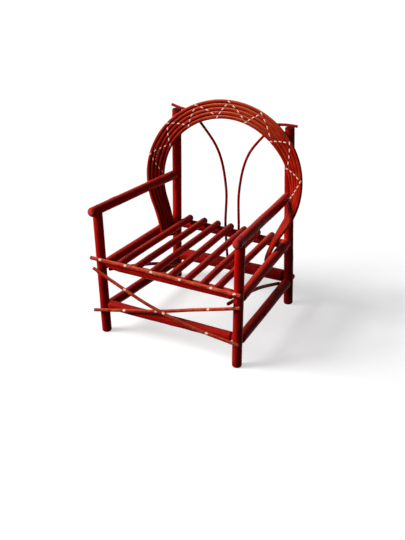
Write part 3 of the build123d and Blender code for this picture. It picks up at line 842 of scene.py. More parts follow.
        # Painted shade: the paint darkens towards the floor.
        place = add_node(tree, "ShaderNodeTexCoord").outputs["Object"]
        height = add_node(tree, "ShaderNodeSeparateXYZ", None, {0: place}).outputs[2]
        start, full = self.soiled_below_mm
        colour = lay_over(tree, colour, self.soiled, height, (start * MM, full * MM),
                          self.soiled_share)
        # Dark ends: end grain, and painted shade where the dark reaches far along.
        worn = add_node(tree, "ShaderNodeAttribute", {"attribute_name": "worn_end"}).outputs["Fac"]
        return lay_over(tree, colour, self.end_grain, worn, self.end_worn, self.end_share)

    def _flecked(self, tree: Tree, colour: Socket, place: Socket) -> Socket:
        """Adds the few dark flecks where the coat is chipped.

        Args:
            tree: the material's node tree.
            colour: the coat's colour.
            place: where on the stick, in mm.

        Returns:
            The flecked coat's colour.
        """
        cells = add_node(tree, "ShaderNodeTexVoronoi", {"feature": "F1"}, {
            "Vector": place, "Scale": 1 / self.fleck_mm, "Randomness": 1.0})
        spot = add_node(tree, "ShaderNodeSeparateColor", None, {0: cells.outputs["Color"]}).outputs[0]
        chosen = add_node(tree, "ShaderNodeMapRange", {"interpolation_type": "SMOOTHSTEP"}, {
            "Value": spot, "From Min": self.fleck_share * self.fleck_blur[0],
            "From Max": self.fleck_share * self.fleck_blur[1]}).outputs[0]
        return lay_over(tree, colour, self.fleck, cells.outputs["Distance"], self.fleck_edge, chosen)


@dataclass(frozen=True)
class DabPaint(Finish):
    """Thick off-white oil paint dabbed with a brush tip: matt, a little pink from the red."""

    colour: str = "#f0c8b6"
    shade: str = "#d9a995"
    shade_mottle: tuple[float, float] = (0.52, 0.75)
    roughness: float = 0.6
    mottle_mm: float = 1.6
    bump_mm: float = 0.1

    def shader(self, tree: Tree) -> Socket:
        """Adds the mottled paint.

        Args:
            tree: the material's node tree.

        Returns:
            The shader.
        """
        place = add_node(tree, "ShaderNodeTexCoord").outputs["Object"]
        mottle = add_node(tree, "ShaderNodeTexNoise", None, {
            "Vector": place, "Scale": 1 / (self.mottle_mm * MM), "Detail": 3.0}).outputs[0]
        bump = add_node(tree, "ShaderNodeBump", None, {
            "Height": mottle, "Strength": 0.4, "Distance": self.bump_mm * MM}).outputs[0]
        colour = lay_over(tree, to_linear(self.colour), self.shade, mottle, self.shade_mottle)
        return add_node(tree, "ShaderNodeBsdfPrincipled", None, {
            "Base Color": colour, "Roughness": self.roughness, "Normal": bump}).outputs[0]


@dataclass(frozen=True)
class NailSteel(Finish):
    """Steel nail heads with remains of the chair's paint, and rough rust in patches."""

    paint: str
    rust: str
    rust_patches: tuple[float, float] = (0.42, 0.6)
    roughness: tuple[float, float] = (0.5, 0.85)
    rust_mm: float = 1.1
    bump_mm: float = 0.15

    def shader(self, tree: Tree) -> Socket:
        """Adds the paint and the rust, which is rougher.

        Args:
            tree: the material's node tree.

        Returns:
            The shader.
        """
        place = add_node(tree, "ShaderNodeTexCoord").outputs["Object"]
        patches = add_node(tree, "ShaderNodeTexNoise", None, {
            "Vector": place, "Scale": 1 / (self.rust_mm * MM), "Detail": 4.0}).outputs[0]
        rough = add_node(tree, "ShaderNodeMapRange", {"interpolation_type": "SMOOTHSTEP"}, {
            "Value": patches, "From Min": self.rust_patches[0], "From Max": self.rust_patches[1],
            "To Min": self.roughness[0], "To Max": self.roughness[1]}).outputs[0]
        bump = add_node(tree, "ShaderNodeBump", None, {
            "Height": patches, "Strength": 0.5, "Distance": self.bump_mm * MM}).outputs[0]
        colour = lay_over(tree, to_linear(self.paint), self.rust, patches, self.rust_patches)
        return add_node(tree, "ShaderNodeBsdfPrincipled", None, {
            "Base Color": colour, "Roughness": rough, "Normal": bump}).outputs[0]


# Steel that rusted after the paint: small dark brown heads.
RUSTED_NAIL = NailSteel("rusted_nail_steel", paint="#4d0f0a", rust="#2a130c")
# Steel brushed over with the enamel: heads that hardly stand out from the stick.
PAINTED_NAIL = NailSteel("painted_nail_steel", paint="#98120b", rust="#6a0d08")
# Off-white oil paint on top of the enamel: matt, thick and a little pink.
DAB_PAINT = DabPaint("dabbed_off_white_oil_paint")
# Enamel on the thick poles: an even deep red with little wear, a painted sheen on the
# tops and painted shade towards the floor.
FRAME_PAINT = BrushedEnamel("brushed_red_enamel_on_poles")
# Enamel under the hands: paler tops from painted sheen, and noses rubbed to a dull pink
# that is partly a painted highlight.
ARM_PAINT = BrushedEnamel(
    "hand_rubbed_red_enamel_on_arms", fade=0.3, end_grain="#b0564a", end_share=0.45)
# Enamel under the sitter: duller, paler tops from painted sheen, and dark ends that reach
# far in at the back as painted shade.
SLAT_PAINT = BrushedEnamel(
    "brushed_red_enamel_on_slats", paint="#b20b06", thin="#bf200d", faded_top="#b24632",
    fade=0.35, end_share=0.8)
# Enamel worn thin on the front twigs, with orange rubbed patches; along their tops the
# orange is painted sheen.
TWIG_PAINT = BrushedEnamel(
    "rubbed_red_enamel_on_twigs", paint="#b81d0d", thin="#c8421c", deep="#8c1006",
    rubbed="#cc8050", rubbed_share=0.8, fade=0.6, fade_from=0.55, faded_top="#cf6c50",
    fleck_share=0.01, streak_width_mm=1.4, streak_length_mm=30.0, blotch_mm=16.0)
# Enamel worn thin on the shoots: orange rubbed patches, orange upward faces from painted
# sheen, and painted shade in the grooves between neighbouring shoots.
BOW_PAINT = BrushedEnamel(
    "rubbed_red_enamel_on_shoots", paint="#a61207", thin="#b63411", deep="#820c05",
    rubbed="#b8683a", rubbed_share=0.24, fade=0.9, fade_from=0.55, faded_top="#d2784e",
    streak_width_mm=1.3, streak_length_mm=70.0, blotch_mm=30.0, fleck_share=0.003,
    groove_share=0.8)
# Enamel on twigs that nobody touches: darker, with hardly any wear.
DARK_TWIG_PAINT = BrushedEnamel(
    "dark_red_enamel_on_thin_twigs", paint="#a60d06", thin="#b3160a", deep="#860704",
    deep_share=0.25, rubbed_share=0.06, fade=0.1, streak_width_mm=1.2)


# ------------------------------------------------------------------ where the posts stand


@dataclass(frozen=True)
class PostLayout:
    """The four corner posts: feet, lean and thickness, in mm and degrees."""

    radius: float = 12.6
    front_foot_x: float = 190.0
    back_foot_x: float = 174.3
    depth: float = 355.0
    splay: float = 1.2
    toe_in: float = 1.2
    rake: float = 0.9
    back_height: float = 508.0
    front_height: float = 341.0

    def front(self, side: Side, height: float) -> Vector:
        """Middle of a front post at a height above the floor."""
        x = self.front_foot_x + height * math.tan(math.radians(self.splay))
        return Vector((side.value * x, FRONT_Y - height * math.tan(math.radians(self.rake)), height))

    def back(self, side: Side, height: float) -> Vector:
        """Finds the middle of a back post at a height.

        Args:
            side: which post.
            height: mm above the floor.

        Returns:
            The point in mm.
        """
        x = self.back_foot_x - height * math.tan(math.radians(self.toe_in))
        y = FRONT_Y + self.depth - height * math.tan(math.radians(self.rake))
        return Vector((side.value * x, y, height))

    def face_y(self, height: float) -> float:
        """Y of the front faces of the front posts at a height."""
        return self.front(Side.RIGHT, height).y - self.radius


@dataclass
class SubAssembly:
    """A group of pieces that share a finish, and a slot name that nothing here reads."""

    layout: PostLayout = PostLayout()
    slot: ClassVar[str] = "stick_paint"

    def build(self) -> list[Piece]:
        """Builds the group's pieces."""
        raise NotImplementedError

    def dress(self, made: Sequence[Piece], finish: bpy.types.Material) -> None:
        """Gives every piece the group's only finish.

        Args:
            made: the pieces.
            finish: the finish.
        """
        for piece in made:
            piece.data.materials.clear()
            piece.data.materials.append(finish)


@dataclass
class StickGroup(SubAssembly):
    """A sub-assembly of sticks, which it keeps by their CAD nodes."""

    sticks: dict[str, Stick] = field(default_factory=dict)

    def plan(self) -> list[Stick]:
        """Plans the group's sticks, in the order in which they are built."""
        raise NotImplementedError

    def build(self) -> list[Piece]:
        """Builds the sticks and gives their pieces."""
        self.sticks = {stick.node: stick for stick in self.plan()}
        return [stick.build() for stick in self.sticks.values()]


@dataclass
class Posts(StickGroup):
    """The corner posts, with feet worn round and sawn level with the floor."""

    foot_round: float = 4.2
    foot_start: float = -0.4
    front_top_round: float = 3.5
    back_top_round: float = 2.4
    first_seed: int = 11

    def plan(self) -> list[Stick]:
        """Plans the four posts.

        Returns:
            The posts, front before back on each side.
        """
        lay, sticks = self.layout, []
        for side in Side:
            for place, find, height, top in (
                ("front", lay.front, lay.front_height, self.front_top_round),
                ("back", lay.back, lay.back_height, self.back_top_round),
            ):
                line = Line((find(side, 0.0), find(side, height)))
                outline = ends_worn(line.length, lay.radius, self.foot_round, top, self.foot_start)
                sticks.append(Stick(
                    f"{place}_{side.label}_post", line, outline, PEELED_POLE,
                    self.first_seed + len(sticks), sides=36, sawn_at_floor=True,
                ))
        return sticks


# ------------------------------------------------------------------ arms, rails, stretchers


@dataclass(frozen=True)
class RailEnd:
    """One end of a rail: the shoulder's distance from the post's middle and its form, in mm.

    The share says how much of the rail's radius is left at the shoulder.
    """

    shoulder: float = 13.3
    taper: float = 5.0
    share: float = 0.8
    tenon: float = 5.0
    tip: float = -4.4
    tip_round: float = 0.0
    edge: float = 0.8
    worn_reach: float = 4.0

    def outline(self, radius: float) -> Outline:
        """Outlines the tenon, the square shoulder, its worn edge and the whittled cut.

        Args:
            radius: the rail's full radius.

        Returns:
            (distance, radius) pairs from the tip on.
        """
        cut = max(radius * self.share, self.tenon)
        tip = [(self.tip, self.tenon)]
        if self.tip_round:
            tip = [(self.tip + s, r) for s, r in rounded_tip(self.tenon, self.tip_round)]
        edge = self.shoulder + self.edge
        whittled = [
            (edge + (self.taper - self.edge) * step, cut + (radius - cut) * math.sin(step * math.pi / 2))
            for step in (0.35, 0.7)
        ]
        return [*tip, (self.shoulder, self.tenon), (self.shoulder, cut - self.edge), (edge, cut),
                *whittled, (self.shoulder + self.taper, radius)]


PLAIN_END = RailEnd()
LONG_WHITTLE = RailEnd(taper=45.0, share=0.42)
SHORT_WHITTLE = RailEnd(taper=9.0, share=0.62)
# The side stretchers run through the back posts and end in worn balls behind them, darkened
# all over: end grain with painted shade.
TAIL = RailEnd(tenon=9.0, tip=-32.3, tip_round=6.0, worn_reach=36.0)


@dataclass(frozen=True)
class RailPlan:
    """A rail between two posts, in mm."""

    node: str
    start: Vector
    end: Vector
    radius: float
    first: RailEnd = PLAIN_END
    last: RailEnd = PLAIN_END

    def far_outline(self) -> Outline:
        """Outline of the far end, from full thickness to its tip."""
        length = (self.end - self.start).length
        return [(length - s, r) for s, r in reversed(self.last.outline(self.radius))]

    def stick(self, seed: int, near: Outline | None = None, sides: int = 32) -> Stick:
        """Plans the rail's stick.

        Args:
            seed: seed of its growth.
            near: outline of the near end, where it isn't the plan's own.
            sides: sides of its rings.

        Returns:
            The stick.
        """
        return Stick(
            self.node, Line((self.start, self.end)),
            (near or self.first.outline(self.radius)) + self.far_outline(), PEELED_RAIL, seed,
            sides=sides, worn_reach=(self.first.worn_reach, self.last.worn_reach),
        )


@dataclass
class Rails(StickGroup):
    """Seat rails and stretchers with whittled shoulders and round tenons."""

    seat_radius: float = 12.6
    seat_front_z: float = 188.0
    seat_back_z: tuple[float, float] = (185.5, 191.5)
    front_rail_z: float = 199.5
    front_rail_end: RailEnd = RailEnd(shoulder=16.0, taper=4.0, share=0.9, tenon=8.0)
    back_rail_radius: float = 12.5
    back_rail_z: tuple[float, float] = (175.0, 177.0)
    side_stretcher_radius: tuple[float, float] = (12.8, 13.1)
    stretcher_front_z: float = 69.2
    stretcher_back_z: tuple[float, float] = (53.0, 69.8)
    front_stretcher_radius: float = 12.3
    front_stretcher_z: float = 81.0
    front_stretcher_end: RailEnd = RailEnd(shoulder=16.0, taper=3.0, share=0.9, tenon=8.0)
    back_stretcher_radius: float = 16.6
    back_stretcher_z: tuple[float, float] = (75.7, 81.4)
    back_stretcher_end: RailEnd = RailEnd(shoulder=13.8, share=0.86)
    first_seed: int = 31

    def plan(self) -> list[Stick]:
        """Plans the rails and stretchers: where each one runs and how its ends are cut.

        Returns:
            Their sticks, the side ones first.
        """
        lay, left, right = self.layout, Side.LEFT, Side.RIGHT
        plans = []
        for side, seat_z, low_z, radius in zip(
                Side, self.seat_back_z, self.stretcher_back_z, self.side_stretcher_radius):
            plans += [
                RailPlan(f"{side.label}_seat_rail", lay.front(side, self.seat_front_z),
                         lay.back(side, seat_z), self.seat_radius),
                RailPlan(f"{side.label}_stretcher", lay.front(side, self.stretcher_front_z),
                         lay.back(side, low_z), radius, last=TAIL),
            ]
        plans += [
            RailPlan("front_seat_rail", lay.front(left, self.front_rail_z),
                     lay.front(right, self.front_rail_z), self.seat_radius,
                     LONG_WHITTLE, self.front_rail_end),
            RailPlan("back_seat_rail", lay.back(left, self.back_rail_z[0]),
                     lay.back(right, self.back_rail_z[1]), self.back_rail_radius),
            RailPlan("front_stretcher", lay.front(left, self.front_stretcher_z),
                     lay.front(right, self.front_stretcher_z), self.front_stretcher_radius,
                     SHORT_WHITTLE, self.front_stretcher_end),
            RailPlan("back_stretcher", lay.back(left, self.back_stretcher_z[0]),
                     lay.back(right, self.back_stretcher_z[1]), self.back_stretcher_radius,
                     self.back_stretcher_end, self.back_stretcher_end),
        ]
        return [plan.stick(self.first_seed + index) for index, plan in enumerate(plans)]


@dataclass
class Arms(StickGroup):
    """The two arms: worn-round noses in front, tenoned into the back posts."""

    radius: float = 12.3
    front_z: float = 346.0
    back_z: float = 322.5
    nose: float = 29.0
    nose_round: float = 9.5
    back_end: RailEnd = RailEnd(shoulder=13.6, taper=3.0, share=0.86)
    first_seed: int = 51

    def plan(self) -> list[Stick]:
        """Plans both arms.

        Returns:
            Their sticks, left and right.
        """
        nose = [(s - self.nose, r) for s, r in rounded_tip(self.radius, self.nose_round, 8)]
        return [
            RailPlan(f"{side.label}_arm", self.layout.front(side, self.front_z),
                     self.layout.back(side, self.back_z), self.radius, last=self.back_end
                     ).stick(self.first_seed + index, nose, sides=36)
            for index, side in enumerate(Side)
        ]


@dataclass
class SeatSlats(StickGroup):
    """Seven slats, notched over the front and back rails."""

    radius: float = 9.25
    front_x: tuple[float, ...] = (-133.0, -87.0, -38.5, 12.0, 57.0, 102.0, 141.5)
    back_x: tuple[float, ...] = (-127.5, -83.0, -41.5, -1.5, 39.0, 79.0, 121.5)
    front_z: float = 214.0
    back_z: float = 195.7
    back_rail_z: float = 175.0
    setback: float = 0.3
    tail: float = 5.0
    end_round: float = 7.4
    # The back ends' long dark reach is painted shade as well as end grain.
    worn_reach: tuple[float, float] = (4.0, 27.0)
    first_seed: int = 61

    def plan(self) -> list[Stick]:
        """Plans the slats.

        Returns:
            Their sticks, from left to right.
        """
        front_y = self.layout.face_y(self.front_z) + self.setback
        back_y = self.layout.back(Side.LEFT, self.back_rail_z).y + self.tail
        sticks = []
        for index, (front_x, back_x) in enumerate(zip(self.front_x, self.back_x)):
            line = Line((Vector((front_x, front_y, self.front_z)), Vector((back_x, back_y, self.back_z))))
            sticks.append(Stick(
                f"seat_slat_{index + 1}", line,
                ends_worn(line.length, self.radius, self.end_round, self.end_round), SLAT_STICK,
                self.first_seed + index, toward=UP, worn_reach=self.worn_reach,
            ))
        return sticks


# ------------------------------------------------------------------ bow


@dataclass
class Bow(StickGroup):
    """Five bent shoots side by side; the flat band turns edge-on toward its feet.

    Lengths are in mm and angles in degrees. The second and fourth shoots are a little
    thicker, so that no light shows between neighbours.
    """

    slot: ClassVar[str] = "bow_paint"
    count: int = 5
    radius: float = 4.91
    between_radius: float = 5.24
    pitch: float = 10.1
    lean: float = 12.27
    roll: float = -0.33
    base_x: float = -2.2
    base_y: float = 225.65
    crown: float = 544.3
    crown_radius: float = 214.27
    crown_angle: float = 49.8
    side_radius: float = 177.43
    side_angle: float = 68.35
    leg_radius: float = 456.0
    leg_length: float = 102.58
    twist: float = 69.2
    twist_length: float = 418.0
    foot_round: float = 1.6
    steps: int = 200
    first_seed: int = 81

    @property
    def half_length(self) -> float:
        """Length of half the middle shoot."""
        crown = self.crown_radius * math.radians(self.crown_angle)
        return crown + self.side_radius * math.radians(self.side_angle) + self.leg_length

    def axes(self) -> tuple[Vector, Vector, Vector]:
        """Finds the bow plane's own directions.

        Returns:
            Across, up the lean and forward.
        """
        lean, roll = math.radians(self.lean), math.radians(self.roll)
        up = Vector((0, math.sin(lean), math.cos(lean)))
        across = Vector((1, 0, 0)) * math.cos(roll) + up * math.sin(roll)
        forward = Vector((0, -math.cos(lean), math.sin(lean)))
        return across, forward.cross(across), forward

    def curve(self, distance: float) -> tuple[float, float, float]:
        """Follows the middle line's tangent arcs.

        Args:
            distance: mm from the crown.

        Returns:
            How far out and up the line is there, and its heading in radians.
        """
        out, up, heading, left = 0.0, self.crown, 0.0, distance
        for radius, length in (
            (self.crown_radius, self.crown_radius * math.radians(self.crown_angle)),
            (self.side_radius, self.side_radius * math.radians(self.side_angle)),
            (-self.leg_radius, math.inf),
        ):
            run = min(left, length)
            turned = heading + run / radius
            out += radius * (math.sin(turned) - math.sin(heading))
            up += radius * (math.cos(turned) - math.cos(heading))
            heading, left = turned, left - run
        return out, up, heading

    def point(self, row: int, signed: float) -> Vector:
        """Finds a point of one shoot.

        Args:
            row: the shoot's row from the middle one, inner rows below 0.
            signed: mm from the crown along the middle line, minus to the left.

        Returns:
            The point in mm.
        """
        side, distance = (-1 if signed < 0 else 1), abs(signed)
        out, up, heading = self.curve(distance)
        turn = min(max((distance - self.half_length) / self.twist_length + 1, 0.0), 1.0)
        twist = math.radians(self.twist) * turn * turn * (3 - 2 * turn)
        flat, forward = row * self.pitch * math.cos(twist), row * self.pitch * math.sin(twist)
        across, upward, ahead = self.axes()
        return (
            Vector((self.base_x, FRONT_Y + self.base_y, 0))
            + across * side * (out + flat * math.sin(heading))
            + upward * (up + flat * math.cos(heading)) + ahead * forward
        )

    def plan(self) -> list[Stick]:
        """Plans the five shoots.

        Returns:
            Their sticks, from the innermost outward.
        """
        sticks = []
        for index in range(self.count):
            row = index - self.count // 2
            line = Line(self.point(row, self.half_length * (2 * step / self.steps - 1))
                        for step in range(self.steps + 1))
            radius = self.between_radius if abs(row) == 1 else self.radius
            sticks.append(Stick(
                f"hoop_strand_{index + 1}", line,
                ends_worn(line.length, radius, self.foot_round, self.foot_round), SHOOT,
                self.first_seed + index, sides=20, step=3.2, toward=self.axes()[2],
                name=f"bow_shoot_{index + 1}",
            ))
        return sticks

    def shoot(self, row: int) -> Stick:
        """The stick of one shoot, by its row from the middle one."""
        return self.sticks[f"hoop_strand_{row + self.count // 2 + 1}"]

    def shoot_distance(self, row: int, signed: float) -> float:
        """Finds the distance along one shoot that lies beside a place on the middle line.

        Args:
            row: the shoot's row from the middle one.
            signed: mm from the crown along the middle line, minus to the left.

        Returns:
            The distance along the shoot in mm.
        """
        marks = self.shoot(row).line.marks
        place = (signed / self.half_length + 1) / 2 * (len(marks) - 1)
        low = min(int(place), len(marks) - 2)
        return marks[low] + (marks[low + 1] - marks[low]) * (place - low)


# ------------------------------------------------------------------ twigs


def twig(node: str, points: Sequence[Vector], radius: float, growth: Growth, seed: int) -> Stick:
    """Plans a bent twig with both tips worn a little round.

    Args:
        node: its CAD node.
        points: where it passes, in mm.
        radius: its radius in mm.
        growth: what grew on it.
        seed: seed of its growth.

    Returns:
        The twig.
    """
    line, tip_round = smooth(points), 1.0
    return Stick(node, line, ends_worn(line.length, radius, tip_round, tip_round), growth, seed,
                 sides=18, step=1.8)


@dataclass
class FrontTwigs(StickGroup):
    """The trim twig below the seat's front edge and the two that cross under it.

    Each one's places are x and z in mm, and its bend is how far it stands off the line
    between the front posts' faces in the middle.
    """

    gap: float = 0.25
    trim: tuple[tuple[float, float], ...] = ((-214.0, 217.0), (-35.0, 216.5), (209.0, 211.0))
    trim_radius: float = 4.9
    falling: tuple[tuple[float, float], ...] = (
        (-209.5, 187.5), (-113.0, 151.0), (-29.0, 121.0), (84.0, 92.0), (203.0, 71.0))
    falling_radius: float = 4.3
    falling_bend: float = 7.8
    rising: tuple[tuple[float, float], ...] = (
        (-213.0, 64.5), (-120.0, 86.0), (-26.0, 108.0), (90.0, 142.5), (207.5, 178.0))
    rising_radius: float = 4.4
    rising_bend: float = -1.5
    first_seed: int = 101

    def points(self, places: Sequence[tuple[float, float]], radius: float,
               bend: float) -> list[Vector]:
        """Finds where a twig on the front posts' faces passes.

        Args:
            places: its places in x and z.
            radius: its radius.
            bend: how far it stands off in the middle.

        Returns:
            The points in mm.
        """
        first, last = (self.layout.face_y(places[k][1]) - radius - self.gap for k in (0, -1))
        foot, points = self.layout.front_foot_x, []
        for x, z in places:
            share = (x + foot) / (2 * foot)
            y = first + (last - first) * share - bend * 4 * share * (1 - share)
            points.append(Vector((x, y, z)))
        return points

    def plan(self) -> list[Stick]:
        """Plans the three twigs.

        Returns:
            Their sticks.
        """
        plans = (
            ("front_trim_twig", self.trim, self.trim_radius, 0.0),
            ("cross_twig_a", self.falling, self.falling_radius, self.falling_bend),
            ("cross_twig_b", self.rising, self.rising_radius, self.rising_bend),
        )
        return [
            twig(node, self.points(places, radius, bend), radius, TWIG, self.first_seed + index)
            for index, (node, places, radius, bend) in enumerate(plans)
        ]


@dataclass
class ThinTwigs(StickGroup):
    """Twigs inside the bow, over the back posts and on the side frames.

    Pairs are left and right, in mm. A top twig's places are x, how far it lies behind the
    post's middle and its rise; a brace's are y behind the front feet and z.
    """

    inner_radius: float = 3.5
    inner_z: tuple[float, ...] = (500.0, 412.0, 305.0, 185.0, 62.0)
    inner_y: tuple[float, ...] = (343.3, 350.6, 358.9, 367.7, 374.4)
    inner_x: tuple[tuple[float, ...], ...] = (
        (-104.0, -42.2, -21.5, -26.5, -21.0), (113.0, 47.0, 18.5, 14.4, 12.0))
    top_radius: float = 3.75
    top_seat: float = 3.9
    top: tuple[tuple[tuple[float, float, float], ...], ...] = (
        ((-182.0, 6.0, 4.5), (-156.0, 3.0, 0.25), (-117.0, -0.5, -3.0)),
        ((182.0, 6.0, 0.3), (150.0, 3.0, 0.6), (117.0, -0.5, -3.0)))
    brace_radius: float = 4.5
    brace: tuple[tuple[tuple[float, float], ...], ...] = (
        ((6.0, 181.0), (190.0, 116.0), (326.0, 55.0)),
        ((-29.0, 187.0), (160.0, 134.0), (328.0, 69.0)))
    brace_inset: tuple[float, ...] = (17.3, 17.5, 17.8)
    first_seed: int = 104

    def top_points(self, side: Side, places: Sequence[tuple[float, float, float]]) -> list[Vector]:
        """Finds where a short twig over a back post passes.

        Args:
            side: which post.
            places: its places.

        Returns:
            The points in mm.
        """
        post = self.layout.back(side, self.layout.back_height)
        seat = self.layout.back_height + self.top_seat
        return [Vector((x, post.y + y, seat + rise)) for x, y, rise in places]

    def brace_points(self, side: Side, places: Sequence[tuple[float, float]]) -> list[Vector]:
        """Finds where a brace on the inner side of a side frame passes.

        Args:
            side: which frame.
            places: its places.

        Returns:
            The points in mm.
        """
        points = []
        for (y, z), inset in zip(places, self.brace_inset):
            share = y / self.layout.depth
            middle = self.layout.front(side, z).x * (1 - share) + self.layout.back(side, z).x * share
            points.append(Vector((middle - side.value * inset, FRONT_Y + y, z)))
        return points

    def plan(self) -> list[Stick]:
        """Plans the six twigs.

        Returns:
            Their sticks, in pairs.
        """
        inner = [[Vector((x, FRONT_Y + y, z)) for x, y, z in zip(xs, self.inner_y, self.inner_z)]
                 for xs in self.inner_x]
        tops = [self.top_points(side, places) for side, places in zip(Side, self.top)]
        braces = [self.brace_points(side, places) for side, places in zip(Side, self.brace)]
        sticks = []
        for kind, pair, radius, growth in (
            ("inner", inner, self.inner_radius, THIN_TWIG), ("top", tops, self.top_radius, TWIG),
            ("brace", braces, self.brace_radius, TWIG),
        ):
            for side, points in zip(Side, pair):
                sticks.append(twig(f"{side.label}_{kind}_twig", points, radius, growth,
                                   self.first_seed + len(sticks)))
        return sticks


# ------------------------------------------------------------------ paint marks and nails


@dataclass(kw_only=True)
class PaintMarks(SubAssembly):
    """Off-white dots on the front twigs and a zigzag of dabs on the bow's face, in mm.

    A turn of the zigzag is its place from the crown, minus to the left, and its row.
    """

    slot: ClassVar[str] = "dab_paint"
    twigs: FrontTwigs
    bow: Bow
    dots_x: tuple[tuple[str, tuple[float, ...]], ...] = (
        ("front_trim_twig", (-184.0, -110.0, -35.0, 44.0, 130.0, 192.0)),
        ("cross_twig_a", (-113.0, -1.0, 118.0)), ("cross_twig_b", (-120.0, -26.0, 122.0)))
    dot_length: float = 7.8
    dot_width: float = 7.41
    dot_heading: float = 0.4
    dot_facing: tuple[float, float, float] = (0.35, -0.75, 0.56)
    turns: tuple[tuple[float, int], ...] = (
        (-317.0, -2), (-275.0, 2), (-228.0, -2), (-185.0, 2), (-139.0, -2), (-95.0, 2),
        (-40.0, -2), (-6.0, 2), (50.0, -2), (82.0, 2), (144.0, -2), (180.0, 2), (235.0, -2),
        (273.0, 2), (318.0, -2))
    dab_length: float = 9.6
    dab_width: float = 3.3
    dot_seed: int = 301
    dab_seed: int = 401

    def dots(self) -> list[PaintDab]:
        """Plans the dots on the three front twigs.

        Returns:
            The dots.
        """
        dabs, facing = [], Vector(self.dot_facing).normalized()
        for node, places in self.dots_x:
            stick = self.twigs.sticks[node]
            for distance in map(stick.distance_at_x, places):
                dabs.append(PaintDab(
                    stick, distance, stick.angle_of(distance, facing), self.dot_length,
                    self.dot_width, self.dot_heading, self.dot_seed + len(dabs),
                ))
        return dabs

    def zigzag(self) -> list[PaintDab]:
        """Plans one dab on each shoot along every leg of the zigzag.

        Returns:
            The dabs.
        """
        dabs, facing = [], self.bow.axes()[2]
        for (start, first), (end, last) in zip(self.turns, self.turns[1:]):
            step = 1 if last > first else -1
            advance = (end - start) / abs(last - first)
            heading = math.atan2(-step * self.bow.pitch, advance)
            # Two legs share the dab at their turn, and the last leg has its own.
            for row in range(first, last + (step if end == self.turns[-1][0] else 0), step):
                signed = start + (end - start) * ((row - first) / (last - first))
                stick, distance = self.bow.shoot(row), self.bow.shoot_distance(row, signed)
                dabs.append(PaintDab(
                    stick, distance, stick.angle_of(distance, facing), self.dab_length,
                    self.dab_width, heading, self.dab_seed + len(dabs),
                ))
        return dabs

    def build(self) -> list[Piece]:
        """Builds the marks.

        Returns:
            The dots' piece and the zigzag's.
        """
        made = []
        for name, dabs in (("twig_dots", self.dots()), ("bow_zigzag", self.zigzag())):
            skin = Skin()
            for dab in dabs:
                dab.add_to(skin)
            made.append(skin.piece(name))
        return made


@dataclass(kw_only=True)
class SunkNails(SubAssembly):
    """The slats' nails, hammered until their heads lie along the skin, then painted over."""

    slot: ClassVar[str] = "nail_steel"
    slats: SeatSlats
    front_rail_z: float = 199.5
    back_rail_z: float = 175.0
    shank_radius: float = 0.9
    head_radius: float = 2.2
    head_flat_radius: float = 1.54
    head_thickness: float = 0.8
    proud: float = 0.3
    rim_proud: float = 0.09
    length: float = 22.0
    sides: int = 14
    crisp: float = 40.0

    def build(self) -> list[Piece]:
        """Builds each rail's nails as one piece that stands for their CAD node.

        Returns:
            The front rail's nails and the back rail's.
        """
        made = []
        for row, rail in (("front", self.layout.front(Side.LEFT, self.front_rail_z)),
                          ("back", self.layout.back(Side.LEFT, self.back_rail_z))):
            skin = Skin()
            for stick in self.slats.sticks.values():
                start, end = stick.line.points
                self._add_nail(skin, stick, stick.line.length * (rail.y - start.y) / (end.y - start.y))
            piece = skin.piece(f"slat_{row}_nail_heads", self.crisp)
            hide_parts(f"slat_{row}_nails")
            made.append(piece)
        return made

    def _add_nail(self, skin: Skin, stick: Stick, distance: float) -> None:
        """Adds one turned nail, square to its stick's skin.

        Args:
            skin: the skin that the nails share, added to.
            stick: the stick that it is driven into.
            distance: mm along the stick.
        """
        angle, near = stick.angle_of(distance, UP), 0.4
        head = stick.surface(distance, angle)
        slope = stick.surface(distance + near, angle) - stick.surface(distance - near, angle)
        along = slope.normalized()
        out = (UP - along * UP.dot(along)).normalized()
        over = out.cross(along)
        under = self.proud - self.head_thickness
        turns = [math.tau * side / self.sides for side in range(self.sides)]
        rings = [
            skin.add(head + out * rise + (along * math.cos(t) + over * math.sin(t)) * radius
                     for t in turns)
            for radius, rise in (
                (self.shank_radius, -self.length), (self.shank_radius, under),
                (self.head_radius, under), (self.head_radius, self.rim_proud),
                (self.head_flat_radius, self.proud))
        ]
        for lower, upper in zip(rings, rings[1:]):
            skin.band(lower, upper, flip=True)
        skin.faces += [tuple(rings[0]), tuple(reversed(rings[-1]))]


def dress_nails(nodes: dict[str, Piece], painted: bpy.types.Material) -> int:
    """Gives the nails' own CAD solids their finish.

    The nails of the trim twig were brushed over with the chair's paint; the others
    were driven later and have rusted.

    Args:
        nodes: the frame's nodes by name.
        painted: the finish of the painted nails.

    Returns:
        How many nodes were dressed.
    """
    rusted, count = RUSTED_NAIL.build(), 0
    for name, node in nodes.items():
        if not name.endswith("nails") or node.hide_render:
            continue
        steel = painted if name.startswith("trim") else rusted
        if not node.material_slots:
            node.data.materials.append(steel)
        for slot in node.material_slots:
            slot.material = steel
        count += 1
    return count


# ------------------------------------------------------------------ studio


def seen_directly(tree: Tree) -> Socket:
    """Tells what the camera sees, straight or by a reflection, from light that lands.

    Args:
        tree: the node tree.

    Returns:
        1 for what is seen and 0 for light that lands.
    """
    rays = add_node(tree, "ShaderNodeLightPath")
    seen = rays.outputs["Is Camera Ray"]
    for other in ("Is Glossy Ray", "Is Transmission Ray"):
        seen = add_node(tree, "ShaderNodeMath", {"operation": "MAXIMUM"},
                        {0: seen, 1: rays.outputs[other]}).outputs[0]
    return seen


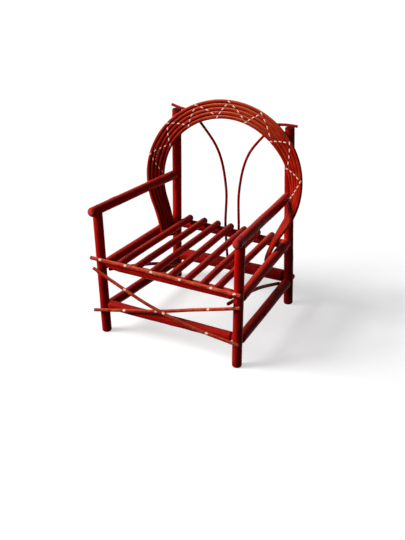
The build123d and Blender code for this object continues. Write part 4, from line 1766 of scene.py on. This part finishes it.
@dataclass(frozen=True)
class FloorPaint(Finish):
    """Matt white floor paint, white where it is seen, with the chair's shadow.

    What the chair's own light bounces off is a plain grey, so that the white floor
    doesn't light the chair from below.
    """

    colour: str = "#fdfcfc"
    scuffed: str = "#f6f5f5"
    scuffs: tuple[float, float] = (0.45, 0.8)
    scuffs_per_metre: float = 1.3
    bounce: str = "#454444"
    glow: float = 0.6
    matt: float = 0.58

    def shader(self, tree: Tree) -> Socket:
        """Adds the paint as it is seen and as it lights the chair.

        Args:
            tree: the material's node tree.

        Returns:
            The shader.
        """
        place = add_node(tree, "ShaderNodeTexCoord").outputs["Object"]
        scuffs = add_node(tree, "ShaderNodeTexNoise", None, {
            "Vector": place, "Scale": self.scuffs_per_metre, "Detail": 6.0,
            "Roughness": 0.6}).outputs[0]
        tone = lay_over(tree, to_linear(self.colour), self.scuffed, scuffs, self.scuffs)
        shade = tuple(c * self.matt for c in to_linear(self.colour)[:3]) + (1.0,)
        matt = add_node(tree, "ShaderNodeBsdfDiffuse", None, {"Color": shade})
        glow = add_node(tree, "ShaderNodeEmission", None, {"Color": tone, "Strength": self.glow})
        seen = add_node(tree, "ShaderNodeAddShader", None, {0: matt.outputs[0], 1: glow.outputs[0]})
        grey = add_node(tree, "ShaderNodeBsdfDiffuse", None, {"Color": to_linear(self.bounce)})
        return add_node(tree, "ShaderNodeMixShader", None, {
            0: seen_directly(tree), 1: grey.outputs[0], 2: seen.outputs[0]}).outputs[0]


# White floor paint without gloss: a pale ground that shows only the chair's shadow.
FLOOR_PAINT = FloorPaint("matt_white_floor_paint")


@dataclass(frozen=True)
class Studio:
    """A pale floor and sky, two soft lights and the camera, in mm, degrees and metres.

    A light is its strength, at which pi lights a surface that faces it as it is written,
    and the degrees of the sky that it fills.
    """

    lens: float = 69.04
    sensor: float = 36.0
    clip_end: float = 60.0
    camera_at: tuple[float, float, float] = (1130.2, -1966.4, 1387.9)
    turn: float = 27.7699
    pitch: float = 27.2185
    roll: float = -0.2026
    floor_size: float = 24.0
    floor_drop: float = 0.0002
    window: tuple[float, float] = (4.15, 28.0)
    window_from: tuple[float, float, float] = (-0.713, -0.442, 0.545)
    room: tuple[float, float] = (0.33, 45.0)
    room_from: tuple[float, float, float] = (-0.462, -0.733, 0.5)
    sky: float = 0.04
    sky_light: str = "#f4f6fb"
    sky_seen: str = "#fafafb"

    def camera(self) -> None:
        """Sets up the camera."""
        data = bpy.data.cameras.new("camera")
        data.lens, data.sensor_width, data.clip_end = self.lens, self.sensor, self.clip_end
        piece = bpy.data.objects.new("camera", data)
        turn, pitch, roll = (math.radians(v) for v in (self.turn, self.pitch, self.roll))
        back = Vector((
            math.sin(turn) * math.cos(pitch), -math.cos(turn) * math.cos(pitch), math.sin(pitch)))
        right = Vector((math.cos(turn), math.sin(turn), 0.0))
        up = back.cross(right)
        x_axis = right * math.cos(roll) + up * math.sin(roll)
        y_axis = up * math.cos(roll) - right * math.sin(roll)
        matrix = Matrix((x_axis, y_axis, back)).transposed().to_4x4()
        matrix.translation = (Vector(self.camera_at) + Vector((0, FRONT_Y, 0))) * MM
        piece.matrix_world = matrix
        bpy.context.scene.collection.objects.link(piece)
        bpy.context.scene.camera = piece

    def floor(self) -> None:
        """Lays the floor."""
        half = self.floor_size / 2
        mesh = bpy.data.meshes.new("floor")
        corners = [(-half, -half, 0), (half, -half, 0), (half, half, 0), (-half, half, 0)]
        mesh.from_pydata(corners, [], [(0, 1, 2, 3)])
        mesh.materials.append(FLOOR_PAINT.build())
        piece = bpy.data.objects.new("floor", mesh)
        piece.location.z = -self.floor_drop
        bpy.context.scene.collection.objects.link(piece)

    def light(self, name: str, look: tuple[float, float],
              place: tuple[float, float, float]) -> None:
        """Hangs a distant soft light.

        Args:
            name: its name.
            look: its strength and the degrees of the sky that it fills.
            place: direction from the chair to the light.
        """
        data = bpy.data.lights.new(name, "SUN")
        data.energy, data.angle = look[0], math.radians(look[1])
        piece = bpy.data.objects.new(name, data)
        piece.matrix_world = Vector(place).to_track_quat("Z", "Y").to_matrix().to_4x4()
        bpy.context.scene.collection.objects.link(piece)

    def world(self) -> None:
        """Paints a plain pale sky: dim as a light, white where it is seen."""
        world = bpy.data.worlds.new("studio")
        bpy.context.scene.world = world
        world.use_nodes = True
        tree = world.node_tree
        tree.nodes.clear()
        dim = add_node(tree, "ShaderNodeBackground", None, {
            "Color": to_linear(self.sky_light), "Strength": self.sky})
        white = add_node(tree, "ShaderNodeBackground", None, {
            "Color": to_linear(self.sky_seen), "Strength": 1.0})
        mixed = add_node(tree, "ShaderNodeMixShader", None,
                         {0: seen_directly(tree), 1: dim.outputs[0], 2: white.outputs[0]})
        add_node(tree, "ShaderNodeOutputWorld", None, {"Surface": mixed.outputs[0]})

    def build(self) -> None:
        """Builds the studio."""
        self.camera()
        self.floor()
        self.light("window_light", self.window, self.window_from)
        self.light("room_light", self.room, self.room_from)
        self.world()
        bpy.context.scene.view_settings.view_transform = "Standard"


# ------------------------------------------------------------------ assembly


def main() -> None:
    """Builds the studio and the chair, piece by piece."""
    logging.basicConfig(level=logging.INFO, format="%(message)s")
    Studio().build()
    frame_paint, painted_nail = FRAME_PAINT.build(), PAINTED_NAIL.build()
    slats, bow, front_twigs = SeatSlats(), Bow(), FrontTwigs()
    for part, finish in (
        (Posts(), frame_paint), (Rails(), frame_paint), (Arms(), ARM_PAINT.build()),
        (slats, SLAT_PAINT.build()), (bow, BOW_PAINT.build()),
        (front_twigs, TWIG_PAINT.build()), (ThinTwigs(), DARK_TWIG_PAINT.build()),
        (PaintMarks(twigs=front_twigs, bow=bow), DAB_PAINT.build()),
        (SunkNails(slats=slats), painted_nail),
    ):
        made = part.build()
        part.dress(made, finish)
        for piece in made:
            LOG.info("%s: %s, %d faces", type(part).__name__, piece.name, len(piece.data.polygons))
    LOG.info("nails: %d nodes dressed", dress_nails(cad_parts, painted_nail))
    bpy.context.view_layer.update()


if __name__ == "__main__":
    main()
